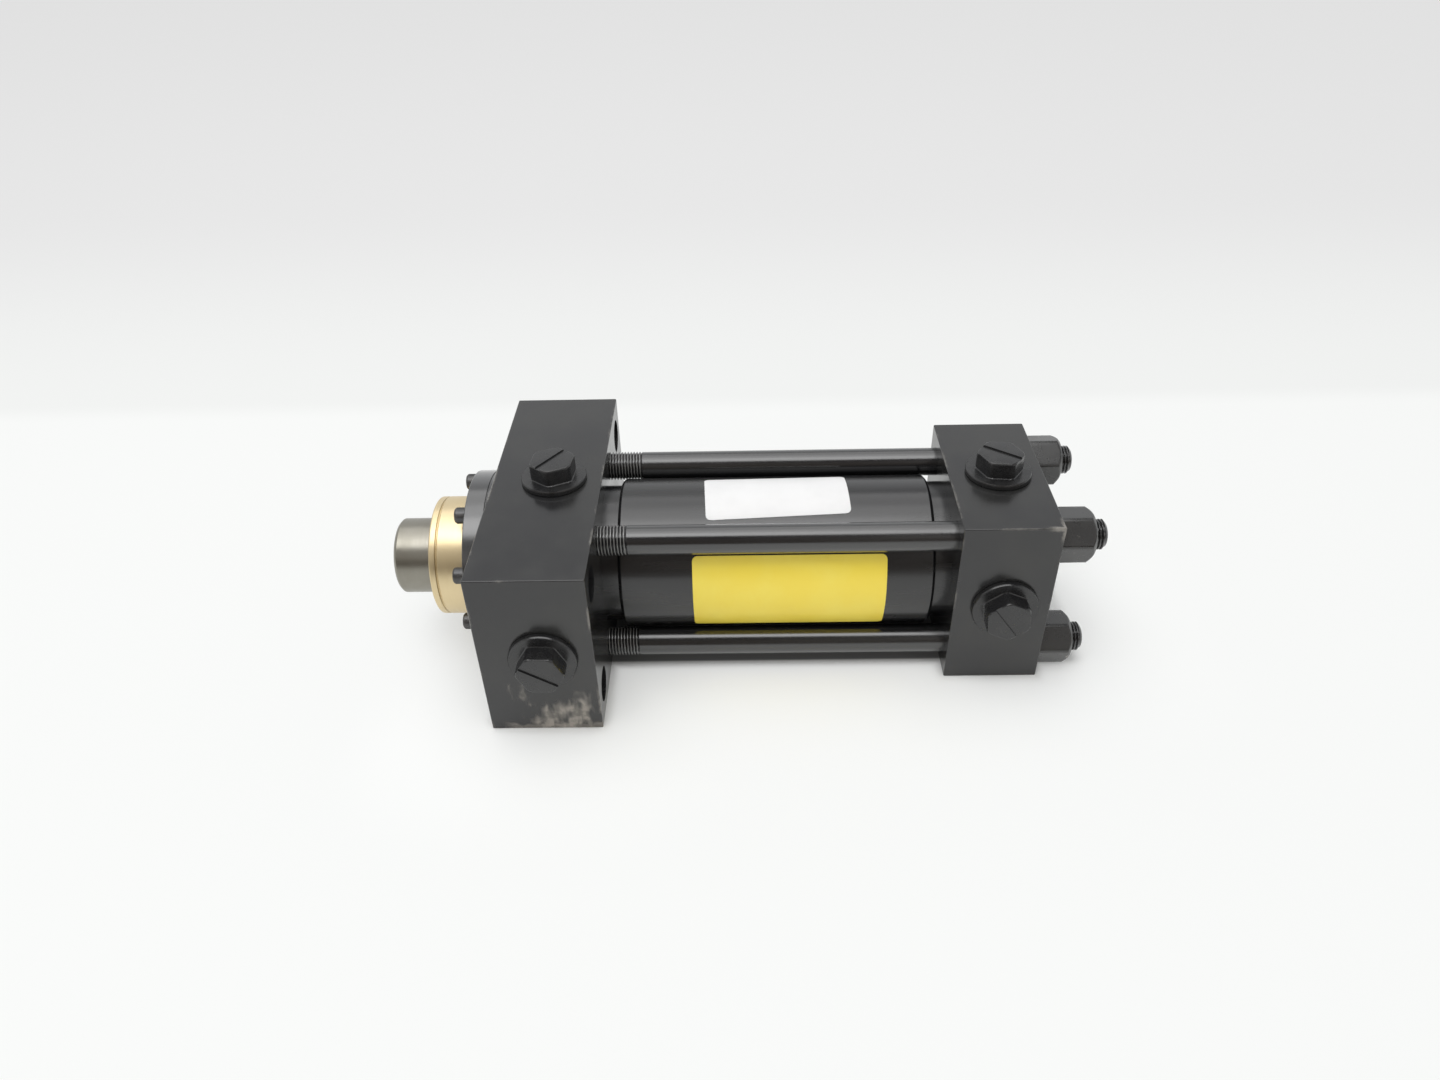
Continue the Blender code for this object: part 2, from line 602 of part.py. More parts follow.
def build_plugs(plastic):
    """The four port plugs: a hollow thread, a round flange and a slotted hexagonal head."""
    thread = PLUG_THREAD_DIAMETER / 2
    flange = PLUG_FLANGE_DIAMETER / 2
    flange_top = SEAT_GAP + PLUG_FLANGE_THICKNESS
    top = flange_top + PLUG_HEX_HEIGHT
    head = hexagon(PLUG_HEX_ACROSS_FLATS)
    head_top = hexagon(PLUG_HEX_ACROSS_FLATS - 2 * PLUG_CHAMFER)
    hollow = thread - PLUG_WALL
    hollow_top = SEAT_GAP - PLUG_WALL
    stations = [
        (hollow_top, 0),
        (hollow_top, hollow),
        (-PLUG_THREAD_LENGTH, hollow),
        (-PLUG_THREAD_LENGTH, thread - PLUG_CHAMFER),
        (-PLUG_THREAD_LENGTH + PLUG_CHAMFER, thread),
        (SEAT_GAP, thread),
        (SEAT_GAP, flange),
        (flange_top - PLUG_CHAMFER, flange),
        (flange_top, flange - PLUG_CHAMFER),
        (flange_top, head),
        (top - PLUG_CHAMFER, head),
        (top, head_top),
        (top, 0),
    ]
    plug = turned("port_plug", stations, MEDIUM_FACETS, plastic)
    slot_height = PLUG_SLOT_DEPTH + CUT_OVERSHOOT
    slot = block("plug_slot", (slot_height, PLUG_FLANGE_DIAMETER, PLUG_SLOT_WIDTH))
    slot_centre = Vector((top + CUT_OVERSHOOT - slot_height / 2, 0, 0))
    seats = (
        ("head_top_plug", Vector((HEAD_PORT_X, 0, BLOCK_HEIGHT)), UP, -36),
        ("head_front_plug", Vector((HEAD_PORT_X, -HEAD_WIDTH / 2, AXIS_HEIGHT)), FRONT, -32),
        ("cap_top_plug", Vector((CAP_PORT_X, 0, BLOCK_HEIGHT)), UP, 54),
        ("cap_front_plug", Vector((CAP_PORT_X, -CAP_WIDTH / 2, AXIS_HEIGHT)), FRONT, -54),
    )
    for name, seat, pointing, turn in seats:
        body = place(name, plug, seat, pointing, turn)
        cut(body, slot, slot_centre, parent=body)


def build_piston_rod(chrome, carrier):
    stud = ROD_STUD_DIAMETER / 2
    spigot = ROD_SPIGOT_DIAMETER / 2
    thread = ROD_THREAD_DIAMETER / 2
    thread_floor = ROD_FRONT + ROD_THREAD_DEPTH
    shoulder = PISTON_FRONT - SEAT_GAP
    stations = [
        (thread_floor, 0),
        (thread_floor, thread),
        (ROD_FRONT + ROD_THREAD_CHAMFER, thread),
        (ROD_FRONT, thread + ROD_THREAD_CHAMFER),
        (ROD_FRONT, ROD_RADIUS - ROD_CHAMFER),
        (ROD_FRONT + ROD_CHAMFER, ROD_RADIUS),
        (shoulder, ROD_RADIUS),
        (shoulder, spigot),
        (PISTON_BACK, spigot),
        (PISTON_BACK, stud),
        (ROD_BACK - TIE_CHAMFER, stud),
        (ROD_BACK, stud - TIE_CHAMFER),
        (ROD_BACK, 0),
    ]
    place("piston_rod", turned("piston_rod", stations, LARGE_FACETS, chrome), parent=carrier)


def piston_grooves():
    """(start, width, floor radius) of the piston's three ring grooves, evenly spaced along it."""
    seal = (PISTON_SEAL_WIDTH + 2 * FIT_GAP, BORE_RADIUS - FIT_GAP - PISTON_SEAL_SECTION - FIT_GAP)
    wear = (WEAR_RING_WIDTH + 2 * FIT_GAP, BORE_RADIUS - FIT_GAP - WEAR_RING_SECTION - FIT_GAP)
    sizes = (seal, wear, seal)
    land = (PISTON_LENGTH - sum(width for width, floor in sizes)) / (len(sizes) + 1)
    start = PISTON_FRONT + land
    for width, floor in sizes:
        yield start, width, floor
        start += width + land


def build_piston(iron, steel, rubber, polymer, carrier):
    o_ring_x = (PISTON_FRONT + PISTON_BACK) / 2
    half = PISTON_O_RING_SECTION / 2 + FIT_GAP
    o_ring_radius = ROD_SPIGOT_DIAMETER / 2 + FIT_GAP + PISTON_O_RING_SECTION / 2
    stations = [
        (PISTON_FRONT, PISTON_BORE_RADIUS),
        (PISTON_FRONT, PISTON_RADIUS - PISTON_CHAMFER),
        (PISTON_FRONT + PISTON_CHAMFER, PISTON_RADIUS),
    ]
    for start, width, floor in piston_grooves():
        stations += [
            (start, PISTON_RADIUS),
            (start, floor),
            (start + width, floor),
            (start + width, PISTON_RADIUS),
        ]
    stations += [
        (PISTON_BACK - PISTON_CHAMFER, PISTON_RADIUS),
        (PISTON_BACK, PISTON_RADIUS - PISTON_CHAMFER),
        (PISTON_BACK, PISTON_BORE_RADIUS),
        (o_ring_x + half, PISTON_BORE_RADIUS),
        (o_ring_x + half, o_ring_radius + half),
        (o_ring_x - half, o_ring_radius + half),
        (o_ring_x - half, PISTON_BORE_RADIUS),
    ]
    place("piston", turned("piston", stations, LARGE_FACETS, iron), parent=carrier)
    ring = o_ring("piston_o_ring", o_ring_x, o_ring_radius, PISTON_O_RING_SECTION, rubber)
    place("piston_o_ring", ring, parent=carrier)
    nut_bore = ROD_STUD_DIAMETER / 2 + FIT_GAP
    nut = hex_nut("piston_nut", PISTON_NUT_ACROSS_FLATS, PISTON_NUT_THICKNESS, nut_bore, steel)
    place("piston_nut", nut, (PISTON_BACK + SEAT_GAP) * CAP_WARD, parent=carrier)
    build_piston_rings(polymer, carrier)


def build_piston_rings(polymer, carrier):
    """Two cup seals that face away from each other, and the split wear ring between them."""
    outer = BORE_RADIUS - FIT_GAP
    seal_inner = outer - PISTON_SEAL_SECTION
    (front_start, width, _), (wear_start, _, _), (back_start, _, _) = piston_grooves()
    front = cup_seal(front_start + FIT_GAP, PISTON_SEAL_WIDTH, seal_inner, outer)
    back = cup_seal(back_start + width - FIT_GAP, -PISTON_SEAL_WIDTH, seal_inner, outer)
    place("piston_seal_rod_side", turned("rod_side_seal", front, SEAL_FACETS, polymer), parent=carrier)
    place("piston_seal_cap_side", turned("cap_side_seal", back, SEAL_FACETS, polymer), parent=carrier)
    wear_inner = outer - WEAR_RING_SECTION
    wear_front = wear_start + FIT_GAP
    wear_back = wear_front + WEAR_RING_WIDTH
    wear = [(wear_front, wear_inner), (wear_front, outer), (wear_back, outer), (wear_back, wear_inner)]
    sweep = FULL_TURN - WEAR_RING_SPLIT / outer
    mesh = turned("piston_wear_ring", wear, SEAL_FACETS, polymer, sweep)
    place("piston_wear_ring", mesh, parent=carrier)


def main():
    clear_scene()
    paint = material("black_paint", (0.012, 0.012, 0.013), 0.3, 0.0)
    bronze = material("bronze", (0.68, 0.45, 0.22), 0.28, 1.0)
    chrome = material("ground_steel", (0.62, 0.60, 0.57), 0.25, 1.0)
    steel = material("black_steel", (0.03, 0.03, 0.03), 0.45, 0.9)
    iron = material("piston_iron", (0.16, 0.16, 0.17), 0.5, 1.0)
    plastic = material("black_plastic", (0.01, 0.01, 0.01), 0.4, 0.0)
    rubber = material("black_rubber", (0.015, 0.015, 0.015), 0.7, 0.0)
    polymer = material("blue_polymer", (0.05, 0.09, 0.2), 0.5, 0.0)
    build_head(paint)
    build_cap(paint)
    build_tube(paint, rubber)
    build_tie_rods(paint)
    build_gland(bronze, rubber, polymer)
    build_retainer(paint, steel)
    build_plugs(plastic)
    carrier = bpy.data.objects.new("rod_axis", None)
    carrier.location = AXIS
    bpy.context.scene.collection.objects.link(carrier)
    build_piston_rod(chrome, carrier)
    build_piston(iron, steel, rubber, polymer, carrier)


main()
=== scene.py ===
"""Looks for a tie-rod cylinder: fine pieces, materials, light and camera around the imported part.

Everything is in metres in the part's frame: the piston rod points along -X, and +Z is up.
"""

import json
import math

import bmesh
import bpy
from mathutils import Matrix, Quaternion, Vector

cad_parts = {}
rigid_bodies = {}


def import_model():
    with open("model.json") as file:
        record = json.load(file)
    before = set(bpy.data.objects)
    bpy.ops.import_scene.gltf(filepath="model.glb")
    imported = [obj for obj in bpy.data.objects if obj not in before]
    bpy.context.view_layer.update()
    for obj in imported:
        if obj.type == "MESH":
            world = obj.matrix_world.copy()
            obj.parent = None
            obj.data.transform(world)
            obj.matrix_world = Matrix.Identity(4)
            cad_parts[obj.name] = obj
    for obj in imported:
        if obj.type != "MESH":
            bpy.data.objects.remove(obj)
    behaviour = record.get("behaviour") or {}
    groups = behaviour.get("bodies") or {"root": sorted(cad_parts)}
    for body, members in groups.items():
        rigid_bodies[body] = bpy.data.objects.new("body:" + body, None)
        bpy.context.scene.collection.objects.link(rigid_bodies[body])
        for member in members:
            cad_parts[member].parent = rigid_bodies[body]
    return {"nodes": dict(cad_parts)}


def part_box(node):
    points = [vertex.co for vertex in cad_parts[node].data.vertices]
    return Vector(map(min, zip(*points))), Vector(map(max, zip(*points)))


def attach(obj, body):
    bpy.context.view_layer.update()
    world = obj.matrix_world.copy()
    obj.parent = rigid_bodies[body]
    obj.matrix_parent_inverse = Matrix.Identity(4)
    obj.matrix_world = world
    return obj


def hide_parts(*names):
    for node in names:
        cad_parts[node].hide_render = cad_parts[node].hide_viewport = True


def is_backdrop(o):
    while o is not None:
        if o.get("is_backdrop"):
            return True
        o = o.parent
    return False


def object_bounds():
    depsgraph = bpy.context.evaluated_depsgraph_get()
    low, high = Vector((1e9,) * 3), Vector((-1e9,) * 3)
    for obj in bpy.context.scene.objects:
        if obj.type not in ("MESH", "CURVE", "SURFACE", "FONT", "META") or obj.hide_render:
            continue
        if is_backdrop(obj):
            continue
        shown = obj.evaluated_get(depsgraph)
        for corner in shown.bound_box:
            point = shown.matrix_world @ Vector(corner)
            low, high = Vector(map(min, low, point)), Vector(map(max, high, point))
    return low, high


# The objects that Blender starts with go before the frame comes in
for old in list(bpy.data.objects):
    bpy.data.objects.remove(old)
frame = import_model()
CAD_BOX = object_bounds()

MM = 0.001
FULL_TURN = 2 * math.pi
SIXTH_TURN = FULL_TURN / 6
X_AXIS = Vector((1, 0, 0))
UP = Vector((0, 0, 1))
FRONT = Vector((0, -1, 0))

# How finely shapes are divided; round shapes that carry a hexagon need a multiple of twelve
LARGE_FACETS = 144
MEDIUM_FACETS = 72
SMALL_FACETS = 48
RINGS_PER_PITCH = 10
EASED_STEPS = 3
NUT_CHAMFER_STEPS = 6
LABEL_CORNER_STEPS = 6
LABEL_ROWS = 24
LABEL_COLUMNS = 32

# Shading: edges sharper than the angle stay hard, and large faces lead the normals
SHARP_ANGLE = math.radians(38)
LARGE_FACE_WEIGHT = 100

# Nodes that repeat, by corner and by number
CORNERS = ("front_upper", "front_lower", "rear_upper", "rear_lower")
SCREW_COUNT = 8

# Small shapes that the frame's boxes do not give; these are shared by several pieces
EDGE_RADIUS = 0.5 * MM
SOFT_EDGE = 0.4 * MM
EASED_SHARE = 0.45
SEAT = 0.02 * MM
MERGE_REACH = 0.005 * MM
PINHOLE_SIDES = 4
OVERSHOOT = 2 * MM

# Blocks and tube
RETAINER_RECESS = 0.5 * MM
MOUNT_HOLE_RADIUS = 7.145 * MM
MOUNT_SPACING_Y = 104.775 * MM
MOUNT_EDGE_Z = 12.065 * MM
CAP_CAVITY_GAP = 3.0 * MM
PORT_RADIUS = 11.1 * MM
PORT_DEPTH = 12.0 * MM
NECK_LENGTH = 6.6 * MM
NECK_STEP = 2.8 * MM
NECK_WALL = 3.175 * MM
TUBE_CHAMFER = 1.2 * MM
TUBE_EDGE = 0.25 * MM

# Tie rods and nuts; four values go corner by corner, and turns are in degrees
CREST_SHARE = 0.35
FLANK_SHARE = 0.5
TIE_PITCH = 1.27 * MM
TIE_THREAD_DEPTH = 0.72 * MM
TIE_SHANK_RADIUS = 5.9 * MM
TIE_THREADS_SHOW = (11.9 * MM, 13.4 * MM, 14.5 * MM, 13.0 * MM)
TIE_THREAD_HIDDEN = 1.5 * MM
TIE_CHAMFER = 1.1 * MM
NUT_ACROSS_FLATS = 19.05 * MM
NUT_CHAMFER = 1.9 * MM
NUT_FACE_RADIUS = 8.9 * MM
NUT_TURNS = (21, 24, 12, 33)

# Gland, wiper, retainer and screws, each screw turned some degrees further than the last
GLAND_LINE_INSET = 2.6 * MM
GLAND_LINE_WIDTH = 0.9 * MM
GLAND_LINE_DEPTH = 0.5 * MM
GLAND_SHOULDER_LENGTH = 5.0 * MM
GLAND_SHOULDER_STEP = 2.0 * MM
GLAND_EDGE = 0.6 * MM
WIPER_LIP_WIDTH = 0.9 * MM
WIPER_VALLEY_DEPTH = 1.6 * MM
WIPER_VALLEY_OFFSET = 2.2 * MM
WIPER_RIM_INSET = 0.6 * MM
WIPER_HEEL_GAP = 1.3 * MM
WIPER_EDGE = 0.3 * MM
RETAINER_LINE_INSET = 1.5 * MM
RETAINER_LINE_WIDTH = 0.5 * MM
RETAINER_LINE_DEPTH = 0.45 * MM
SCREW_RADIUS = 2.1 * MM
SCREW_SOCKET_ACROSS_FLATS = 3.6 * MM
SCREW_SOCKET_DEPTH = 2.1 * MM
SCREW_KNURL_DEPTH = 0.18 * MM
SCREW_TURN_STEP = 25

# Piston rod
ROD_CHAMFER = 1.2 * MM
ROD_EDGE = 0.35 * MM
ROD_THREAD_RADIUS = 8.8 * MM
ROD_THREAD_DEPTH = 28.6 * MM
ROD_THREAD_PITCH = 1.5875 * MM
ROD_THREAD_HEIGHT = 0.6 * MM
ROD_THREAD_INSET = 1.2 * MM
ROD_THREAD_END_GAP = 4 * MM
ROD_HOLE_CONE = 3 * MM
ROD_HOLE_CHAMFER = 0.6 * MM
ROD_SPIGOT_RADIUS = 11.0 * MM
ROD_STUD_RADIUS = 9.525 * MM

# Port plugs, with the turn of each plug's slot in degrees
PLUG_TURNS = {"head_top_plug": -36, "head_front_plug": -32, "cap_top_plug": 54, "cap_front_plug": -54}
PLUG_FLANGE_THICKNESS = 2.4 * MM
PLUG_THREAD_RADIUS = 10.8 * MM
PLUG_HEX_ACROSS_FLATS = 16.8 * MM
PLUG_CORNER_TRIM = 0.35 * MM
PLUG_SLOT_WIDTH = 2.6 * MM
PLUG_SLOT_DEPTH = 0.6 * MM
PLUG_WALL = 2.4 * MM
PLUG_TIP_GAP = 2 * MM

# Labels: left and right ends on the tube, and bottom and top as degrees round it from the front
LABEL_THICKNESS = 0.12 * MM
LABEL_CORNER = 2.2 * MM
LARGE_LABEL = (58.6 * MM, 136.0 * MM, -35.0, 34.5)
SMALL_LABEL = (63.7 * MM, 121.9 * MM, 63.0, 110.3)
SMALL_LABEL_TILT = math.radians(2.4)

# Boxes of the frame's nodes and what follows from them
HEAD_LOW, HEAD_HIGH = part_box("head")
CAP_LOW, CAP_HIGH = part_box("cap")
TUBE_LOW, TUBE_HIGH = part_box("tube")
GLAND_LOW, GLAND_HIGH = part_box("rod_gland")
RETAINER_LOW, RETAINER_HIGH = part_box("gland_retainer")
WIPER_LOW, WIPER_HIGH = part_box("rod_wiper")
ROD_LOW, ROD_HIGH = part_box("piston_rod")
PISTON_LOW, PISTON_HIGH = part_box("piston")
TIE_LOW, TIE_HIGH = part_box("tie_rod_front_upper")
AXIS = Vector((0, 0, (HEAD_LOW.z + HEAD_HIGH.z) / 2))
TUBE_RADIUS = (TUBE_HIGH.y - TUBE_LOW.y) / 2
NECK_RADIUS = TUBE_RADIUS - NECK_STEP
BORE_RADIUS = NECK_RADIUS - NECK_WALL
GLAND_SHOULDER_RADIUS = (GLAND_HIGH.y - GLAND_LOW.y) / 2
GLAND_RADIUS = GLAND_SHOULDER_RADIUS - GLAND_SHOULDER_STEP
RETAINER_RADIUS = (RETAINER_HIGH.y - RETAINER_LOW.y) / 2
RETAINER_SEAT = HEAD_LOW.x + RETAINER_RECESS
WIPER_RADIUS = (WIPER_HIGH.y - WIPER_LOW.y) / 2
ROD_RADIUS = (ROD_HIGH.y - ROD_LOW.y) / 2
TIE_RADIUS = (TIE_HIGH.y - TIE_LOW.y) / 2

# The camera, fitted to the corners of both blocks in the photograph
CAMERA_PLACE = Vector((78.5, -350.6, 310.6)) * MM
CAMERA_AIM = Vector((69.07, 7.83, 38.1)) * MM
CAMERA_ROLL = math.radians(-1.66)
CAMERA_LENS = 26.02
CAMERA_SENSOR = 36.0
CAMERA_CLIP = 10 * MM


def corner_place(corner, offset_y, offset_z):
    """A point of the four-corner pattern round the axis."""
    side = -1 if corner.startswith("front") else 1
    height = 1 if corner.endswith("upper") else -1
    return AXIS + Vector((0, side * offset_y, height * offset_z))


def middle(node):
    """The middle of a node's box."""
    low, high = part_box(node)
    return (low + high) / 2


# Meshes


def hexagon(across_flats, corner_radius=math.inf):
    """A hexagonal section whose corners are trimmed to a circle."""

    def radius(angle):
        from_flat = (angle + SIXTH_TURN / 2) % SIXTH_TURN - SIXTH_TURN / 2
        return min(across_flats / 2 / math.cos(from_flat), corner_radius)

    return radius


def thread_section(x, pitch, major, height):
    """The section of a screw thread at x: its flanks climb one pitch in a turn."""

    def radius(angle):
        phase = (x / pitch - angle / FULL_TURN) % 1
        along = abs(2 * phase - 1)
        return major - height * min(1, max(0, (along - CREST_SHARE) / FLANK_SHARE))

    return radius


def eased(points, radius=SOFT_EDGE):
    """A turned profile with its corners rounded off; points on the axis stay."""
    made = []
    count = len(points)
    for index, point in enumerate(points):
        if point[1] == 0:
            made.append(point)
            continue
        corner = Vector(point)
        before = Vector(points[index - 1]) - corner
        after = Vector(points[(index + 1) % count]) - corner
        reach = min(radius, before.length * EASED_SHARE, after.length * EASED_SHARE)
        start = corner + before.normalized() * reach
        end = corner + after.normalized() * reach
        for step in range(EASED_STEPS + 1):
            share = step / EASED_STEPS
            bend = start * (1 - share) ** 2 + corner * 2 * share * (1 - share) + end * share**2
            made.append((bend.x, bend.y))
    return made


def turned(name, stations, facets):
    """A mesh turned about the X axis from (x, section) stations.

    A section is a radius or a function of the angle. Stations that begin and end on the axis
    make a solid, and others a ring.
    """
    shape = bmesh.new()
    angles = [FULL_TURN * step / facets for step in range(facets)]
    rings = []
    for x, section in stations:
        if section == 0:
            rings.append([shape.verts.new((x, 0, 0))] * facets)
            continue
        sizes = [section(a) if callable(section) else section for a in angles]
        points = [(x, r * math.cos(a), r * math.sin(a)) for r, a in zip(sizes, angles)]
        rings.append([shape.verts.new(point) for point in points])
    neighbours = list(zip(rings, rings[1:]))
    if stations[0][1] != 0:
        neighbours.append((rings[-1], rings[0]))
    for here, there in neighbours:
        for step in range(facets):
            after = (step + 1) % facets
            corners = (here[step], here[after], there[after], there[step])
            shape.faces.new(list(dict.fromkeys(corners)))
    bmesh.ops.recalc_face_normals(shape, faces=shape.faces)
    mesh = bpy.data.meshes.new(name)
    shape.to_mesh(mesh)
    shape.free()
    return mesh


def rounded_block(name, low, high, radius):
    """A box between two corners, with every edge rounded unless the radius is 0."""
    shape = bmesh.new()
    bmesh.ops.create_cube(shape, size=1)
    bmesh.ops.scale(shape, vec=high - low, verts=shape.verts)
    bmesh.ops.translate(shape, vec=(low + high) / 2, verts=shape.verts)
    if radius:
        edges = shape.edges[:]
        bmesh.ops.bevel(shape, geom=edges, offset=radius, segments=3, profile=0.5, affect="EDGES")
    mesh = bpy.data.meshes.new(name)
    shape.to_mesh(mesh)
    shape.free()
    return mesh


def aimed(mesh, place, pointing=X_AXIS, turn=0.0):
    """Moves a mesh's own X axis to a place and a direction, spun by turn degrees."""
    spin = Quaternion(X_AXIS, math.radians(turn))
    rotation = X_AXIS.rotation_difference(pointing) @ spin
    mesh.transform(Matrix.Translation(place) @ rotation.to_matrix().to_4x4())
    return mesh


def drill(radius, depth, place, pointing=X_AXIS, facets=MEDIUM_FACETS):
    """A round cutter from just above a face into it."""
    stations = [(-OVERSHOOT, 0), (-OVERSHOOT, radius), (depth, radius), (depth, 0)]
    return aimed(turned("drill", stations, facets), place, pointing)


def without(mesh, cutters):
    """The mesh with the cutters taken out of it, with no doubled points and no pinholes."""
    body = bpy.data.objects.new("cut_body", mesh)
    bpy.context.scene.collection.objects.link(body)
    tools = []
    for cutter in cutters:
        tool = bpy.data.objects.new("cut_tool", cutter)
        bpy.context.scene.collection.objects.link(tool)
        boolean = body.modifiers.new("cut", "BOOLEAN")
        boolean.solver = "EXACT"
        boolean.object = tool
        tools.append(tool)
    graph = bpy.context.evaluated_depsgraph_get()
    made = bpy.data.meshes.new_from_object(body.evaluated_get(graph))
    for tool in [*tools, body]:
        bpy.data.objects.remove(tool)
    shape = bmesh.new()
    shape.from_mesh(made)
    bmesh.ops.remove_doubles(shape, verts=shape.verts, dist=MERGE_REACH)
    bmesh.ops.dissolve_degenerate(shape, edges=shape.edges, dist=MERGE_REACH)
    open_edges = [edge for edge in shape.edges if edge.is_boundary]
    bmesh.ops.holes_fill(shape, edges=open_edges, sides=PINHOLE_SIDES)
    shape.to_mesh(made)
    shape.free()
    return made


def add_piece(name, mesh, material, body, replaced=()):
    """A shown piece that rides on a body, and stands for the nodes that it replaces."""
    piece = bpy.data.objects.new(name, mesh)
    bpy.context.scene.collection.objects.link(piece)
    mesh.materials.clear()
    mesh.materials.append(material)
    mesh.shade_smooth()
    mesh.set_sharp_from_angle(angle=SHARP_ANGLE)
    normals = piece.modifiers.new("large_faces_first", "WEIGHTED_NORMAL")
    normals.weight = LARGE_FACE_WEIGHT
    normals.keep_sharp = True
    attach(piece, body)
    if replaced:
        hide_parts(*replaced)
    return piece


# Materials


class Nodes:
    """A node tree, with short calls that add nodes and wire them."""

    def __init__(self, tree):
        self.tree = tree

    def node(self, kind, inputs=(), **settings):
        made = self.tree.nodes.new(kind)
        for key, value in settings.items():
            setattr(made, key, value)
        for key, value in dict(inputs).items():
            self.feed(made.inputs[key], value)
        return made

    def feed(self, socket, value):
        if isinstance(value, bpy.types.NodeSocket):
            self.tree.links.new(value, socket)
        else:
            socket.default_value = value

    def math(self, operation, first, second=0.0):
        return self.node("ShaderNodeMath", {0: first, 1: second}, operation=operation).outputs[0]

    def vector(self, operation, first, second=(0, 0, 0)):
        return self.node("ShaderNodeVectorMath", {0: first, 1: second}, operation=operation).outputs[0]

    def length(self, vector):
        return self.node("ShaderNodeVectorMath", {0: vector}, operation="LENGTH").outputs["Value"]

    def ramp(self, value, start, end, low=0.0, high=1.0):
        """A smooth step from low to high as value goes from start to end."""
        inputs = {"Value": value, 1: start, 2: end, 3: low, 4: high}
        return self.node("ShaderNodeMapRange", inputs, interpolation_type="SMOOTHSTEP").outputs[0]

    def blend(self, share, first, second):
        mixer = self.node("ShaderNodeMix", data_type="RGBA")
        self.feed(mixer.inputs["Factor"], share)
        for key, value in (("A", first), ("B", second)):
            socket = [each for each in mixer.inputs if each.name == key and each.type == "RGBA"][0]
            self.feed(socket, (*value, 1.0) if isinstance(value, tuple) else value)
        return [each for each in mixer.outputs if each.type == "RGBA"][0]

    def axes(self, place):
        split = self.node("ShaderNodeSeparateXYZ", {"Vector": place})
        return split.outputs["X"], split.outputs["Y"], split.outputs["Z"]


class Recipe(Nodes):
    """A material's node tree, with a Principled shader at its end."""

    def __init__(self, name, roughness, metallic=0.0, specular=0.5, coat=0.0):
        self.material = bpy.data.materials.new(name)
        self.material.use_nodes = True
        super().__init__(self.material.node_tree)
        self.shader = self.tree.nodes["Principled BSDF"]
        self.shader.inputs["Roughness"].default_value = roughness
        self.shader.inputs["Metallic"].default_value = metallic
        self.shader.inputs["Specular IOR Level"].default_value = specular
        self.shader.inputs["Coat Weight"].default_value = coat
        self.shader.inputs["Coat Roughness"].default_value = roughness
        self.place = self.node("ShaderNodeTexCoord").outputs["Object"]

    def noise(self, scale, detail=3.0, stretch=(1, 1, 1), roughness=0.55):
        """Cloudy values, mostly within ALL_NOISE; scale counts patches in a metre."""
        moved = self.node("ShaderNodeMapping", {"Vector": self.place, "Scale": stretch})
        inputs = {
            "Vector": moved.outputs["Vector"],
            "Scale": scale,
            "Detail": detail,
            "Roughness": roughness,
        }
        return self.node("ShaderNodeTexNoise", inputs).outputs["Fac"]

    def bump(self, height, distance, strength=1.0):
        inputs = {"Height": height, "Distance": distance, "Strength": strength}
        made = self.node("ShaderNodeBump", inputs)
        self.feed(self.shader.inputs["Normal"], made.outputs["Normal"])

    def colour(self, value):
        self.feed(self.shader.inputs["Base Color"], value)

    def rough(self, value):
        self.feed(self.shader.inputs["Roughness"], value)

    def clouded(self, cloud, dark, light, roughness):
        """Colour and roughness that drift together with a cloudy pattern."""
        self.colour(self.blend(self.ramp(cloud, *ALL_NOISE), dark, light))
        self.rough(self.ramp(cloud, *ALL_NOISE, *roughness))


# The values of a noise over which a ramp runs
ALL_NOISE = (0.3, 0.7)
MID_NOISE = (0.35, 0.65)
FADED_PATCHES = (0.35, 0.7)

# Paints, what shows where they are worn, and a painted highlight for thread crests
BLACK = (0.015, 0.015, 0.016)
WARM_BLACK = (0.022, 0.022, 0.021)
GLOSS_BLACK = (0.007, 0.007, 0.008)
GLOSS_GREY = (0.012, 0.012, 0.012)
LIGHT_PRIMER = (0.34, 0.31, 0.27)
DARK_PRIMER = (0.17, 0.158, 0.135)
WORN_EDGE = (0.26, 0.245, 0.22)
# A lighter grey on the thread crests, a painted highlight
CREST_PAINTED_HIGHLIGHT = (0.12, 0.12, 0.115)

# Wear of the blocks and the nuts: between which lengths, shares or values of a noise it fades
RUB_FADE = (0.5 * MM, 1.6 * MM)
RUB_PATCHES = (0.50, 0.64)
CHIP_REACH_SHARES = (0.8, 1.9)
CHIP_DEPTH_SHARES = (0.7, 1.6)
CHIP_STRENGTH = 0.75
SCRAPE_SKIN = (0.2 * MM, 0.6 * MM)
SCRAPE_RAGGED = 30 * MM
SCRAPE_FADE = 5 * MM
SCRAPE_TOP_FADE = 6 * MM
SCRAPE_STROKES = (0.34, 0.56)
SCRAPE_STRENGTH = 0.85
PRIMER_PATCHES = (0.40, 0.60)
FOOT_FADE = (2.0 * MM, 3.6 * MM)
FOOT_START = (4 * MM, 12 * MM)
FOOT_STRENGTH = 0.75
FOOT_RAGGED = 0.2
WORN_ROUGHER = 0.15
NUT_CHIPS = (0.67, 0.72)

# How rough a surface is where it is smoothest and where it is roughest
SATIN_ROUGHNESS = (0.17, 0.25)
NUT_ROUGHNESS = (0.24, 0.34)
LABEL_ROUGHNESS = (0.30, 0.42)


def edge_distance(recipe, low, high):
    """How far a surface point of a box is from the box's nearest edge."""
    half = (high - low) / 2
    offset = recipe.vector("SUBTRACT", recipe.place, (low + high) / 2)
    depth = recipe.vector("SUBTRACT", half, recipe.vector("ABSOLUTE", offset))
    x, y, z = recipe.axes(depth)
    lower = recipe.math("MINIMUM", x, y)
    upper = recipe.math("MAXIMUM", x, y)
    return recipe.math("MAXIMUM", lower, recipe.math("MINIMUM", upper, z))


